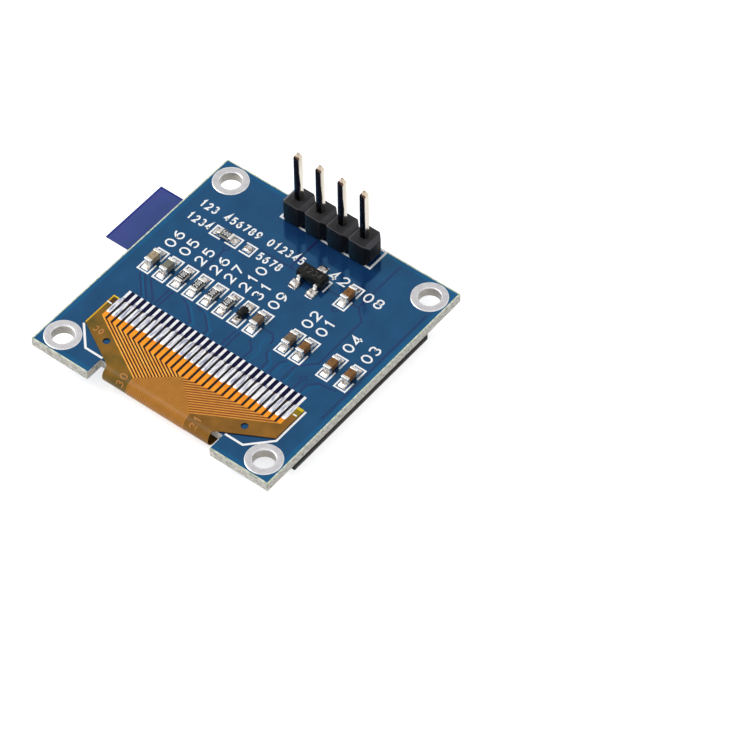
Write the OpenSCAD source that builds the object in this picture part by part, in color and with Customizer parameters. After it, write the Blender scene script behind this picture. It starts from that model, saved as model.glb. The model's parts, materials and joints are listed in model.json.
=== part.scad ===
// Small graphic display module: a blue circuit board that carries a glass
// display panel on its lower face, the panel's folded flexible cable, small
// surface-mount parts and a straight four-pin header on its upper face.
//
// Frame: the origin is the board's centre on its upper face, where the parts
// are. +X runs along the pin header, +Y points to the header's edge and +Z
// points up along the pins. The display looks down, along -Z.
// All lengths are millimetres.

/* [Board] */
// Board width, along the pin header
board_w = 27.3; // [27.2:0.1:30]
// Board height, across the pin header
board_h = 27.8; // [27.2:0.1:31]
// Board thickness
board_t = 1.0; // [0.8:0.1:1.6]
// Width of the notch that the flexible cable passes through
notch_w = 14.2; // [13.4:0.1:14.8]
// Depth of that notch
notch_d = 1.9; // [1.5:0.05:2.2]
// Thickness of the tinned copper on pads, rings and hole walls
pad_t = 0.05; // [0.03:0.01:0.08]

/* [Mounting holes] */
// Clear diameter of a mounting hole, inside its plating
hole_d = 2.1; // [1.8:0.05:2.4]
// Distance from a mounting hole's centre to its two nearest edges
hole_inset = 2.0; // [1.85:0.05:2.2]
// Outer diameter of the bare ring around a mounting hole
ring_d = 3.54; // [3.2:0.02:3.66]

/* [Pin header] */
// Number of pins
pin_count = 4; // [2:1:6]
// Distance between pins
pin_pitch = 2.54; // [2:0.02:2.6]
// Distance from the pin row to the board's edge
header_inset = 1.55; // [1.4:0.05:2]
// Width of the square pin
pin_w = 0.64; // [0.5:0.02:0.66]
// Length of a pin above the housing
pin_up = 5.95; // [4:0.05:9]
// Length of a pin that shows on the board's display side
pin_tail = 1.5; // [1.2:0.05:1.5]
// Length of the taper at each end of a pin
tip_len = 0.5; // [0.3:0.05:0.8]
// Width of a pin at its blunt point
tip_w = 0.24; // [0.16:0.02:0.4]
// Height of the plastic housing
housing_h = 2.54; // [1.5:0.02:3]
// Depth of the plastic housing, across the pin row
housing_d = 2.5; // [2.1:0.05:2.6]
// Bevel on each pin's block of the housing, which forms the snap-off grooves
housing_bevel = 0.43; // [0.2:0.01:0.5]
// Clear diameter of a pin hole in the board, inside its plating
pin_hole_d = 1.0; // [0.96:0.02:1.1]
// Diameter of the round pad around a pin hole
pin_pad_d = 1.7; // [1.5:0.05:1.9]
// Height of the solder cone on the display side
solder_cone_h = 0.85; // [0.5:0.05:1]

/* [Display panel] */
// Thickness of the adhesive tape between board and panel
tape_t = 0.1; // [0.05:0.01:0.3]
// Width of the adhesive tape's bare border inside the rear glass
tape_margin = 1.2; // [0.5:0.1:3]
// Distance of the display glass's sides inside the board's sides
panel_inset = 0.3; // [0.05:0.05:0.6]
// Height of the display glass
panel_h = 19.26; // [18.5:0.02:20]
// Distance of the display glass from the board's edge at the header
panel_down = 4.44; // [4:0.01:4.9]
// Thickness of the rear cap glass
rear_glass_t = 0.65; // [0.5:0.05:1]
// Thickness of the front glass
front_glass_t = 0.65; // [0.5:0.05:1]
// Width of the front glass's ledge, which carries the driver chip and cable
ledge_w = 3.0; // [2.6:0.1:3.4]
// Thickness of the polarizing sheet
polarizer_t = 0.15; // [0.1:0.01:0.25]
// Bare glass border beside and above the polarizing sheet
polarizer_margin = 0.3; // [0.1:0.05:0.8]
// Bare glass border below the polarizing sheet
polarizer_foot = 3.4; // [2:0.1:4]
// Thickness of the peel-off protective film
film_t = 0.08; // [0.05:0.01:0.15]
// Width of the film's pull tab
tab_w = 8.0; // [4:0.1:12]
// Distance from the display glass's edge to the end of the pull tab
tab_l = 4.59; // [2:0.05:8]
// Length of the driver chip
driver_l = 6.8; // [5:0.1:9]
// Width of the driver chip
driver_w = 0.9; // [0.6:0.05:1.3]
// Height of the driver chip
driver_h = 0.3; // [0.2:0.02:0.45]

/* [Flexible cable] */
// Thickness of the cable's plastic base
flex_base_t = 0.08; // [0.05:0.01:0.12]
// Thickness of the cable's copper
trace_t = 0.02; // [0.02:0.01:0.04]
// Width of the cable over its soldered end
flex_w = 22.1; // [21.6:0.1:22.8]
// Length of the cable on the board, from its bend to its soldered end
flex_l = 6.6; // [6:0.05:7]
// Length of the shoulder that narrows the cable, measured from its bend
shoulder_l = 2.6; // [2.2:0.05:3]
// Width of the cable where it bends
neck_w = 12.2; // [11:0.1:13]
// Length of the straight neck between shoulder and bend
neck_l = 0.3; // [0.28:0.02:0.6]
// Gap between the notch's edge and the bend
bend_gap = 0.1; // [0.05:0.05:0.4]
// Length of the cable bonded on the glass ledge
bond_l = 1.1; // [0.8:0.05:1.3]
// Diameter of the cable's two locating holes
locating_d = 0.72; // [0.5:0.02:0.9]
// Distance of each locating hole from the cable's middle
locating_x = 8.0; // [7.6:0.05:8.2]
// Distance of the locating holes from the bend
locating_up = 1.98; // [1.8:0.02:2.1]
// Radius in the corner between neck and shoulder
neck_fillet_r = 0.4; // [0.2:0.05:0.4]

/* [Cable contacts] */
// Number of contacts
contact_count = 30; // [20:2:30]
// Distance between contacts
contact_pitch = 0.7; // [0.6:0.01:0.72]
// Width of a contact line on the board
contact_w = 0.27; // [0.2:0.01:0.35]
// Length of a contact line that shows beyond the cable's end
contact_show = 1.3; // [0.8:0.05:1.6]
// Width of a contact finger on the cable
finger_w = 0.45; // [0.3:0.01:0.5]
// Length of the soldered stretch of a finger
joint_l = 1.9; // [1.4:0.05:2]
// Height of a solder joint on its finger
joint_h = 0.05; // [0.03:0.01:0.1]

/* [Cable fan-out] */
// Width of a copper trace
trace_w = 0.15; // [0.1:0.01:0.17]
// Distance between traces where they run through the bend
trace_pitch = 0.225; // [0.21:0.005:0.24]
// Rise of a slanting trace for each unit across
fan_slope = 0.56; // [0.5:0.01:0.62]
// Height above the bend at which the middle traces turn straight
fan_top = 2.95; // [2.7:0.05:3.1]
// Height above the bend at which the outermost traces turn straight
fan_foot = 0.2; // [0.1:0.05:0.3]

/* [Chip parts] */
// Length of a chip capacitor or resistor
chip_l = 1.6; // [1.4:0.05:1.7]
// Width of a chip capacitor or resistor
chip_w = 0.8; // [0.6:0.05:0.9]
// Height of a chip capacitor
capacitor_h = 0.8; // [0.5:0.05:1]
// Height of a chip resistor
resistor_h = 0.45; // [0.3:0.05:0.6]
// Length of the metal cap at each end of a chip
end_l = 0.32; // [0.2:0.02:0.4]
// Wall thickness of those metal caps
end_t = 0.03; // [0.02:0.01:0.05]
// Small bevel along a chip's long edges
chip_bevel = 0.06; // [0.02:0.01:0.1]
// Width of a solder pad under a chip
land_w = 0.78; // [0.6:0.02:1]
// Length of a solder pad under a chip
land_l = 0.9; // [0.75:0.05:1]
// Gap between the two pads under a chip
land_gap = 0.9; // [0.8:0.05:1.1]
// Length of a solder fillet on its pad
fillet_l = 0.42; // [0.2:0.02:0.5]
// Height of a solder fillet, as it climbs the end of a capacitor
fillet_h = 0.4; // [0.15:0.05:0.5]

/* [Diode] */
// Length of the diode's body
diode_l = 1.2; // [1:0.05:1.25]
// Width of the diode's body
diode_w = 0.8; // [0.6:0.05:0.9]
// Height of the diode's body
diode_h = 0.65; // [0.5:0.05:0.8]
// Width of the diode's leads
diode_lead_w = 0.32; // [0.2:0.02:0.5]
// Length of a diode lead beyond the body
diode_lead_l = 0.2; // [0.1:0.02:0.25]

/* [Voltage regulator] */
// Length of the regulator's body, along X
regulator_l = 2.9; // [2.6:0.1:3.1]
// Width of the regulator's body, along Y
regulator_w = 1.3; // [1.1:0.05:1.4]
// Height of the regulator's body
regulator_h = 0.95; // [0.8:0.05:1.1]
// Clearance under the regulator's body
regulator_lift = 0.08; // [0.04:0.02:0.12]
// Distance from the regulator's middle to the end of a lead's foot
regulator_reach = 1.22; // [1.15:0.02:1.3]
// Distance between the two leads on one side
regulator_lead_pitch = 1.9; // [1.8:0.05:2]
// Width of a regulator lead
regulator_lead_w = 0.4; // [0.3:0.02:0.5]
// Thickness of the lead metal
lead_t = 0.12; // [0.1:0.01:0.15]
// Width of the regulator's solder pads
regulator_land_w = 0.8; // [0.6:0.05:0.9]
// Length of the regulator's solder pads
regulator_land_l = 1.0; // [0.8:0.05:1.1]

/* [Placement] */
// Distance of the main row's first part from the board's left edge
row_inset = 2.68; // [2.5:0.01:2.8]
// Distance of the middle of the main row from the board's edge at the header
row_down = 13.98; // [13.6:0.02:14.2]
// Distance between neighbouring parts in the main row
row_pitch = 1.76; // [1.7:0.01:1.78]
// Distance of the row's middle pair of capacitors from the board's right edge
middle_pair_inset = 6.95; // [6.8:0.05:7.1]
// Distance between the two capacitors of the middle pair
middle_pair_pitch = 1.65; // [1.5:0.05:1.7]
// Distance of the row's outer pair of capacitors from the board's right edge
outer_pair_inset = 1.75; // [1.2:0.05:1.9]
// Distance between the two capacitors of the outer pair
outer_pair_pitch = 2.05; // [1.9:0.05:2.3]
// Distance of the lone capacitor from the board's right edge
lone_inset = 7.75; // [7.4:0.05:8.2]
// Distance of the lone capacitor from the board's edge at the header
lone_down = 6.55; // [6.3:0.05:6.8]
// Distance of the voltage regulator right of the board's middle
regulator_side = 2.02; // [1.6:0.02:2.2]
// Distance of the voltage regulator from the board's edge at the header
regulator_down = 6.9; // [6.7:0.05:7.1]
// Distance of the address resistor from the board's left edge
address_inset = 6.1; // [5.6:0.05:6.2]
// Distance of the address resistor from the board's edge at the header
address_down = 7.63; // [7.4:0.01:7.9]
// Distance of the address resistor's spare pad to its right
spare_pitch = 2.57; // [2.4:0.01:3]

/* [Hidden] */
$fn = 48;

// Small clearances and proportions that belong to how the parts are made
draft = 0.1;              // slope of a moulded body's sides, per unit of height
parting = 0.45;           // height of a moulded body's parting line, as a share
fillet_steps = 5;         // straight steps in a solder fillet's hollow curve
cut = 1;                  // overlap that makes a cut pass its faces cleanly

// Edges of the board and rows measured from them
edge_x = board_w / 2;
edge_y = board_h / 2;
header_y = edge_y - header_inset;
notch_y = -edge_y + notch_d;

// Heights of the display stack, from the board's lower face downwards
board_z = -board_t;
tape_z = board_z - tape_t;
ledge_z = tape_z - rear_glass_t;
front_z = ledge_z - front_glass_t;
polarizer_z = front_z - polarizer_t;

// Outline of the display panel
panel_w = board_w - 2 * panel_inset;
panel_top = edge_y - panel_down;
panel_bottom = panel_top - panel_h;
rear_bottom = panel_bottom + ledge_w;
polarizer_bottom = panel_bottom + polarizer_foot;
polarizer_top = panel_top - polarizer_margin;
polarizer_w = panel_w - 2 * polarizer_margin;

// Heights and stations of the flexible cable
flex_z = pad_t;
flex_top = flex_z + flex_base_t + trace_t;
bend_y = notch_y - bend_gap;
bend_r = (flex_top - ledge_z) / 2;
bend_z = (flex_top + ledge_z) / 2;
solder_end_y = bend_y + flex_l;
shoulder_y = bend_y + shoulder_l;
neck_y = bend_y + neck_l;
bond_y = panel_bottom + bond_l;
middle_contact = (contact_count - 1) / 2;

// Places of the small parts, as [x, y, turn]; a turn of 0 lays a chip along Y
row_y = edge_y - row_down;
address_x = -edge_x + address_inset;
address_y = edge_y - address_down;
function row_place(n) = [-edge_x + row_inset + n * row_pitch, row_y, 0];
function right_place(inset) = [edge_x - inset, row_y, 0];
capacitor_places = [
    row_place(0), row_place(1), row_place(7),
    right_place(middle_pair_inset + middle_pair_pitch), right_place(middle_pair_inset),
    right_place(outer_pair_inset + outer_pair_pitch), right_place(outer_pair_inset),
    [edge_x - lone_inset, edge_y - lone_down, 0]
];
resistor_places = [
    row_place(2), row_place(3), row_place(4), row_place(5),
    [address_x, address_y, 90]
];
diode_place = row_place(6);
regulator_place = [regulator_side, edge_y - regulator_down, 0];
spare_pad_place = [address_x + spare_pitch, address_y, 90];

corner_signs = [[-1, -1], [1, -1], [1, 1], [-1, 1]];

// ---- shared shapes ----

// A rectangle with bevelled corners, standing on its lower edge
module bevelled_section(w, h, bevel) {
    polygon([
        [-w / 2 + bevel, 0], [w / 2 - bevel, 0], [w / 2, bevel], [w / 2, h - bevel],
        [w / 2 - bevel, h], [-w / 2 + bevel, h], [-w / 2, h - bevel], [-w / 2, bevel]
    ]);
}

// A bar along Y, centred on the origin in plan and standing on z = 0
module bar(l, w, h, bevel) {
    rotate([90, 0, 0])
        translate([0, 0, -l / 2])
            linear_extrude(l) bevelled_section(w, h, bevel);
}

// Side view of a moulded body: its walls lean in from the parting line
module moulded_section(w, h) {
    split = h * parting;
    low = w / 2 - split * draft;
    high = w / 2 - (h - split) * draft;
    polygon([[-low, 0], [low, 0], [w / 2, split], [high, h], [-high, h], [-w / 2, split]]);
}

// A moulded body, l along Y and w along X, standing on z = 0
module moulded_body(l, w, h) {
    intersection() {
        rotate([90, 0, 0])
            translate([0, 0, -l / 2 - cut]) linear_extrude(l + 2 * cut) moulded_section(w, h);
        rotate([90, 0, 90])
            translate([0, 0, -w / 2 - cut]) linear_extrude(w + 2 * cut) moulded_section(l, h);
    }
}

// The plating of a hole: a tube through the board with a flat ring on each face
module plated_hole(clear_d, pad_d) {
    r = clear_d / 2;
    rotate_extrude()
        polygon([
            [r, board_z - pad_t], [pad_d / 2, board_z - pad_t], [pad_d / 2, board_z],
            [r + pad_t, board_z], [r + pad_t, 0], [pad_d / 2, 0],
            [pad_d / 2, pad_t], [r, pad_t]
        ]);
}

// Moves a part to its place on the board's pads
module placed(place) {
    translate([place[0], place[1], pad_t]) rotate([0, 0, place[2]]) children();
}

// A solder fillet on its pad, from y = 0 outwards, with a hollow face that
// follows a quarter of an ellipse from its foot up to its top
module solder_fillet(w, l, h) {
    hollow = [for (n = [0:fillet_steps])
        let (a = 90 * n / fillet_steps) [l * (1 - sin(a)), h * (1 - cos(a))]];
    rotate([90, 0, 90])
        translate([0, 0, -w / 2])
            linear_extrude(w) polygon(concat([[0, 0]], hollow));
}

// Runs its children at both ends of a part, facing away from its middle
module both_ends() {
    children();
    rotate([0, 0, 180]) children();
}

// ---- circuit board ----

module pcb_outline() {
    difference() {
        square([board_w, board_h], center = true);
        translate([-notch_w / 2, -edge_y - cut]) square([notch_w, notch_d + cut]);
    }
}

module pcb() {
    color("#1f5a8c")
        translate([0, 0, board_z])
            linear_extrude(board_t)
                difference() {
                    pcb_outline();
                    for (s = corner_signs)
                        mounting_hole_position(s) circle(d = hole_d + 2 * pad_t);
                    pin_positions() circle(d = pin_hole_d + 2 * pad_t);
                }
}

module mounting_hole_position(s) {
    translate([s[0] * (edge_x - hole_inset), s[1] * (edge_y - hole_inset), 0]) children();
}

module mounting_hole_ring(i) {
    color("#d6d5d2")
        mounting_hole_position(corner_signs[i - 1]) plated_hole(hole_d, ring_d);
}

// ---- pin header ----

function pin_x(i) = (i - (pin_count + 1) / 2) * pin_pitch;

module pin_position(i) {
    translate([pin_x(i), header_y, 0]) children();
}

module pin_positions() {
    for (i = [1:pin_count]) pin_position(i) children();
}

module header_hole_plating() {
    color("#d6d5d2")
        pin_positions() plated_hole(pin_hole_d, pin_pad_d);
}

// One long edge of the housing, at a distance half from its middle: it dips by
// the bevel at both ends and in the groove between two pins
function grooved_edge(half) = concat(
    [for (i = [1:pin_count]) let (x = pin_x(i) - pin_pitch / 2) each [
        [x, half - housing_bevel], [x + housing_bevel, half],
        [x + pin_pitch - housing_bevel, half]
    ]],
    [[pin_x(pin_count) + pin_pitch / 2, half - housing_bevel]]
);

// The housing's outline between two such edges, both in plan and in front view
module grooved_section(depth) {
    edge = grooved_edge(depth / 2);
    polygon(concat(edge, [for (n = [len(edge) - 1:-1:0]) [edge[n][0], -edge[n][1]]]));
}

module header_housing() {
    color("#26262a")
        difference() {
            translate([0, header_y, pad_t + housing_h / 2])
                intersection() {
                    translate([0, 0, -housing_h / 2])
                        linear_extrude(housing_h) grooved_section(housing_d);
                    rotate([90, 0, 0])
                        translate([0, 0, -housing_d / 2])
                            linear_extrude(housing_d) grooved_section(housing_h);
                }
            pin_positions()
                translate([-pin_w / 2, -pin_w / 2, pad_t - cut])
                    cube([pin_w, pin_w, housing_h + 2 * cut]);
        }
}

// Side view of a pin, from its tail below the board to its tip
module pin_section() {
    low = board_z - pin_tail;
    high = pad_t + housing_h + pin_up;
    polygon([
        [-tip_w / 2, low], [tip_w / 2, low], [pin_w / 2, low + tip_len],
        [pin_w / 2, high - tip_len], [tip_w / 2, high], [-tip_w / 2, high],
        [-pin_w / 2, high - tip_len], [-pin_w / 2, low + tip_len]
    ]);
}

module header_pin(i) {
    color("#c9c6c0")
        pin_position(i)
            intersection() {
                rotate([90, 0, 0]) translate([0, 0, -pin_w / 2]) linear_extrude(pin_w) pin_section();
                rotate([90, 0, 90]) translate([0, 0, -pin_w / 2]) linear_extrude(pin_w) pin_section();
            }
}

// Solder fills each pin hole and rises to a cone on the display side
module header_solder() {
    cone_z = board_z - pad_t;
    tip_z = cone_z - solder_cone_h;
    wetted_d = pin_pad_d - 2 * pad_t;
    color("#cfd0d2")
        pin_positions()
            difference() {
                union() {
                    translate([0, 0, cone_z]) cylinder(h = pad_t - cone_z, d = pin_hole_d);
                    translate([0, 0, tip_z])
                        cylinder(h = solder_cone_h, d1 = pin_hole_d, d2 = wetted_d);
                }
                translate([-pin_w / 2, -pin_w / 2, tip_z - cut])
                    cube([pin_w, pin_w, pad_t - tip_z + 2 * cut]);
            }
}

// ---- display panel ----

// A flat sheet centred on X between two values of y, hanging down from z
module sheet(w, low_y, high_y, z, t) {
    translate([-w / 2, low_y, z - t]) cube([w, high_y - low_y, t]);
}

module adhesive_tape() {
    color("#e8e4d8")
        sheet(panel_w - 2 * tape_margin, rear_bottom + tape_margin, panel_top - tape_margin,
              board_z, tape_t);
}

module rear_glass() {
    color("#15171c") sheet(panel_w, rear_bottom, panel_top, tape_z, rear_glass_t);
}

module front_glass() {
    color("#101218") sheet(panel_w, panel_bottom, panel_top, ledge_z, front_glass_t);
}

module polarizer() {
    color("#08090c") sheet(polarizer_w, polarizer_bottom, polarizer_top, front_z, polarizer_t);
}

// The chip sits midway between the cable's bonded end and the rear glass
module driver_chip() {
    color("#3a3d44")
        translate([-driver_l / 2, (bond_y + rear_bottom - driver_w) / 2, ledge_z])
            cube([driver_l, driver_w, driver_h]);
}

// The film covers the polarizing sheet, with a pull tab past the panel's side
module protective_film() {
    tab_end = -panel_w / 2 - tab_l;
    color("#3e4a8d")
        translate([0, 0, polarizer_z - film_t])
            linear_extrude(film_t)
                union() {
                    translate([-polarizer_w / 2, polarizer_bottom])
                        square([polarizer_w, polarizer_top - polarizer_bottom]);
                    translate([tab_end, polarizer_top - tab_w]) square([-tab_end, tab_w]);
                }
}

// ---- flexible cable ----

// A cable layer's bend: half a ring around the board's notch edge, whose
// section is given by the children with radius along X and width along Y
module cable_bend() {
    translate([0, bend_y, bend_z])
        rotate([0, -90, 180])
            rotate_extrude(angle = 180) children();
}

// Fills the corner between the right side of the neck and its shoulder, up to
// an arc that is tangent to both
module neck_fillet() {
    half = neck_w / 2;
    slope = atan((shoulder_l - neck_l) / (flex_w / 2 - half));
    leg = neck_fillet_r / tan((90 + slope) / 2);
    difference() {
        polygon([
            [half, neck_y],
            [half, neck_y - leg],
            [half + leg * cos(slope), neck_y + leg * sin(slope)]
        ]);
        translate([half + neck_fillet_r, neck_y - leg]) circle(r = neck_fillet_r);
    }
}

module cable_outline() {
    difference() {
        union() {
            polygon([
                [-flex_w / 2, solder_end_y], [flex_w / 2, solder_end_y],
                [flex_w / 2, shoulder_y], [neck_w / 2, neck_y], [neck_w / 2, bend_y],
                [-neck_w / 2, bend_y], [-neck_w / 2, neck_y], [-flex_w / 2, shoulder_y]
            ]);
            each_side() neck_fillet();
        }
        for (s = [-1, 1])
            translate([s * locating_x, bend_y + locating_up]) circle(d = locating_d);
    }
}

module flex_cable() {
    color("#8a6a2a")
        union() {
            translate([0, 0, flex_z]) linear_extrude(flex_base_t) cable_outline();
            cable_bend()
                translate([bend_r - trace_t - flex_base_t, -neck_w / 2])
                    square([flex_base_t, neck_w]);
            translate([-neck_w / 2, bend_y, ledge_z + trace_t])
                cube([neck_w, bond_y - bend_y, flex_base_t]);
        }
}

// One trace on the board side: a contact finger, a slant towards the middle
// and a straight run to the bend. k counts contacts outwards from the middle.
module fan_trace(k) {
    finger_x = k * contact_pitch;
    run_x = k * trace_pitch;
    half_finger = finger_w / 2;
    half_trace = trace_w / 2;
    // Half the height of the slanting stretch, measured straight up
    half_slant = half_trace * sqrt(1 + fan_slope * fan_slope);
    turn_y = bend_y + fan_top - (fan_top - fan_foot) * k / middle_contact;
    // Height of the slant's centre line at a distance x from the middle
    function slant_y(x) = turn_y + fan_slope * (x - run_x);
    polygon([
        [finger_x - half_finger, solder_end_y],
        [finger_x - half_finger, slant_y(finger_x - half_finger) + half_slant],
        [run_x - half_trace, slant_y(run_x - half_trace) + half_slant],
        [run_x - half_trace, bend_y],
        [run_x + half_trace, bend_y],
        [run_x + half_trace, slant_y(run_x + half_trace) - half_slant],
        [finger_x + half_finger, slant_y(finger_x + half_finger) - half_slant],
        [finger_x + half_finger, solder_end_y]
    ]);
}

// Contact numbers on the right of the middle, each counted from the middle
right_contacts = [for (n = [0:contact_count / 2 - 1]) n + 0.5];

module each_side() {
    children();
    mirror([1, 0, 0]) children();
}

module flex_traces() {
    color("#e08a1e")
        each_side()
            for (k = right_contacts) {
                translate([0, 0, flex_z + flex_base_t]) linear_extrude(trace_t) fan_trace(k);
                cable_bend()
                    translate([bend_r - trace_t, k * trace_pitch - trace_w / 2])
                        square([trace_t, trace_w]);
                translate([k * trace_pitch - trace_w / 2, bend_y, ledge_z])
                    cube([trace_w, bond_y - bend_y, trace_t]);
            }
}

// The board's contact lines, which run under the cable's fingers
module flex_contacts() {
    low = solder_end_y - joint_l;
    color("#e4e4e2")
        linear_extrude(pad_t)
            each_side()
                for (k = right_contacts)
                    translate([k * contact_pitch - contact_w / 2, low])
                        square([contact_w, joint_l + contact_show]);
}

// Solder over each finger, with a round end where it meets the cable's edge
module flex_solder_joints() {
    straight = joint_l - finger_w / 2;
    color("#dfe1e6")
        translate([0, 0, flex_top])
            linear_extrude(joint_h)
                each_side()
                    for (k = right_contacts)
                        translate([k * contact_pitch, solder_end_y - joint_l])
                            union() {
                                translate([-finger_w / 2, 0]) square([finger_w, straight]);
                                translate([0, straight]) circle(d = finger_w, $fn = 24);
                            }
}

// ---- chip parts ----

// The space between a chip's two metal ends, as a cutter for height h
module between_ends(h) {
    translate([-chip_w / 2 - cut, -chip_l / 2 + end_l, -cut])
        cube([chip_w + 2 * cut, chip_l - 2 * end_l, h + 2 * cut]);
}

module capacitor_body(i) {
    color("#9a7648")
        placed(capacitor_places[i - 1])
            translate([0, 0, end_t])
                bar(chip_l - 2 * end_t, chip_w - 2 * end_t, capacitor_h - 2 * end_t, chip_bevel);
}

// Metal caps that wrap all five faces at each end of the ceramic block
module capacitor_ends(i) {
    color("#dcdcda")
        placed(capacitor_places[i - 1])
            difference() {
                bar(chip_l, chip_w, capacitor_h, chip_bevel);
                between_ends(capacitor_h);
                translate([0, 0, end_t])
                    bar(chip_l - 2 * end_t, chip_w - 2 * end_t, capacitor_h - 2 * end_t,
                        chip_bevel);
            }
}

module resistor_body(i) {
    color("#2a2a2c")
        placed(resistor_places[i - 1])
            translate([-chip_w / 2, -chip_l / 2 + end_t, end_t])
                cube([chip_w, chip_l - 2 * end_t, resistor_h - 2 * end_t]);
}

// Metal clips over the top, end and bottom at each end of the ceramic slab
module resistor_ends(i) {
    color("#dcdcda")
        placed(resistor_places[i - 1])
            difference() {
                translate([-chip_w / 2, -chip_l / 2, 0]) cube([chip_w, chip_l, resistor_h]);
                between_ends(resistor_h);
                translate([-chip_w / 2 - cut, -chip_l / 2 + end_t, end_t])
                    cube([chip_w + 2 * cut, chip_l - 2 * end_t, resistor_h - 2 * end_t]);
            }
}

// ---- diode ----

module diode_body() {
    color("#202022")
        placed(diode_place)
            difference() {
                moulded_body(diode_l, diode_w, diode_h);
                diode_lead_blank();
            }
}

// Both flat leads as they lie in the body and beyond it
module diode_lead_blank() {
    inside = diode_l / 4;
    both_ends()
        translate([-diode_lead_w / 2, inside, 0])
            cube([diode_lead_w, diode_l / 2 - inside + diode_lead_l, lead_t]);
}

module diode_leads() {
    color("#d2d2d0") placed(diode_place) diode_lead_blank();
}

// ---- voltage regulator ----

// Height of the leads where they leave the moulded body
shoulder_z = regulator_lift + regulator_h * parting - lead_t / 2;

// Side view of one gull-wing lead from inside the body to its foot on the pad
module gull_wing_section() {
    inside = regulator_w / 4;
    shoulder = regulator_w / 2 + lead_t;
    knee = shoulder + lead_t;
    polygon([
        [inside, shoulder_z], [shoulder, shoulder_z], [knee, 0], [regulator_reach, 0],
        [regulator_reach, lead_t], [knee + lead_t, lead_t],
        [shoulder + lead_t, shoulder_z + lead_t], [inside, shoulder_z + lead_t]
    ]);
}

module gull_wing() {
    rotate([90, 0, 90])
        translate([0, 0, -regulator_lead_w / 2])
            linear_extrude(regulator_lead_w) gull_wing_section();
}

// Runs its children at the three leads: one on the +Y side, two on the -Y side
module regulator_lead_positions() {
    children();
    for (s = [-1, 1])
        translate([s * regulator_lead_pitch / 2, 0, 0]) rotate([0, 0, 180]) children();
}

module regulator_leads() {
    color("#d2d2d0") placed(regulator_place) regulator_lead_positions() gull_wing();
}

module regulator_body() {
    color("#232326")
        placed(regulator_place)
            difference() {
                translate([0, 0, regulator_lift])
                    moulded_body(regulator_w, regulator_l, regulator_h);
                regulator_lead_positions() gull_wing();
            }
}

// ---- pads and solder of the small parts ----

two_ended_places = concat(capacitor_places, resistor_places, [diode_place]);

// One pad of a two-ended part, on its +Y side
module land() {
    translate([-land_w / 2, land_gap / 2]) square([land_w, land_l]);
}

// One pad of the regulator, on its +Y side
module regulator_land() {
    translate([-regulator_land_w / 2, regulator_reach - regulator_land_l / 4])
        square([regulator_land_w, regulator_land_l]);
}

module component_pads() {
    color("#d9d8d3")
        translate([0, 0, -pad_t])
            union() {
                for (p = two_ended_places)
                    placed(p) both_ends() linear_extrude(pad_t) land();
                placed(regulator_place)
                    regulator_lead_positions() linear_extrude(pad_t) regulator_land();
                placed(spare_pad_place) linear_extrude(pad_t) spare_land();
            }
}

// The pad of the position that is left without a part
module spare_land() {
    translate([-land_w / 2, -land_l / 2]) square([land_w, land_l]);
}

module component_solder() {
    fillet_w = chip_w - 2 * chip_bevel;
    resistor_fillet_h = fillet_h * resistor_h / capacitor_h;
    reach = diode_l / 2 + diode_lead_l;
    color("#e2e2e0") {
        for (p = capacitor_places)
            placed(p) both_ends()
                translate([0, chip_l / 2, 0]) solder_fillet(fillet_w, fillet_l, fillet_h);
        for (p = resistor_places)
            placed(p) both_ends()
                translate([0, chip_l / 2, 0])
                    solder_fillet(fillet_w, fillet_l, resistor_fillet_h);
        placed(diode_place) both_ends()
            translate([0, reach, 0]) solder_fillet(fillet_w, fillet_l, lead_t);
        placed(regulator_place) regulator_lead_positions()
            translate([0, regulator_reach, 0])
                solder_fillet(regulator_lead_w + lead_t, fillet_l, lead_t);
        placed(spare_pad_place) moulded_body(land_l - lead_t, land_w - lead_t, lead_t);
    }
}

// ---- nodes ----

pcb();
header_hole_plating();
header_housing();
header_solder();
adhesive_tape();
rear_glass();
front_glass();
polarizer();
driver_chip();
protective_film();
flex_cable();
flex_traces();
flex_contacts();
flex_solder_joints();
component_pads();
component_solder();
diode_body();
diode_leads();
regulator_body();
regulator_leads();
for (i = [1:len(corner_signs)])
    mounting_hole_ring(i);
for (i = [1:pin_count])
    header_pin(i);
for (i = [1:len(capacitor_places)])
    capacitor_body(i);
for (i = [1:len(capacitor_places)])
    capacitor_ends(i);
for (i = [1:len(resistor_places)])
    resistor_body(i);
for (i = [1:len(resistor_places)])
    resistor_ends(i);
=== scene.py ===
"""Dresses the small display module: finishes, soft solder shapes, printed marks and the studio.

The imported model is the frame. Its origin is the board's centre on the face that carries the
parts, +X runs along the pin header, +Y points to the header's edge and +Z up along the pins.
All lengths are metres; MM turns millimetres into metres.
"""

from __future__ import annotations

import json
import logging
import math
from dataclasses import dataclass, field, replace
from enum import Enum
from typing import ClassVar, Sequence

import bmesh
import bpy
import numpy as np
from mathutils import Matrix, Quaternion, Vector

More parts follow.
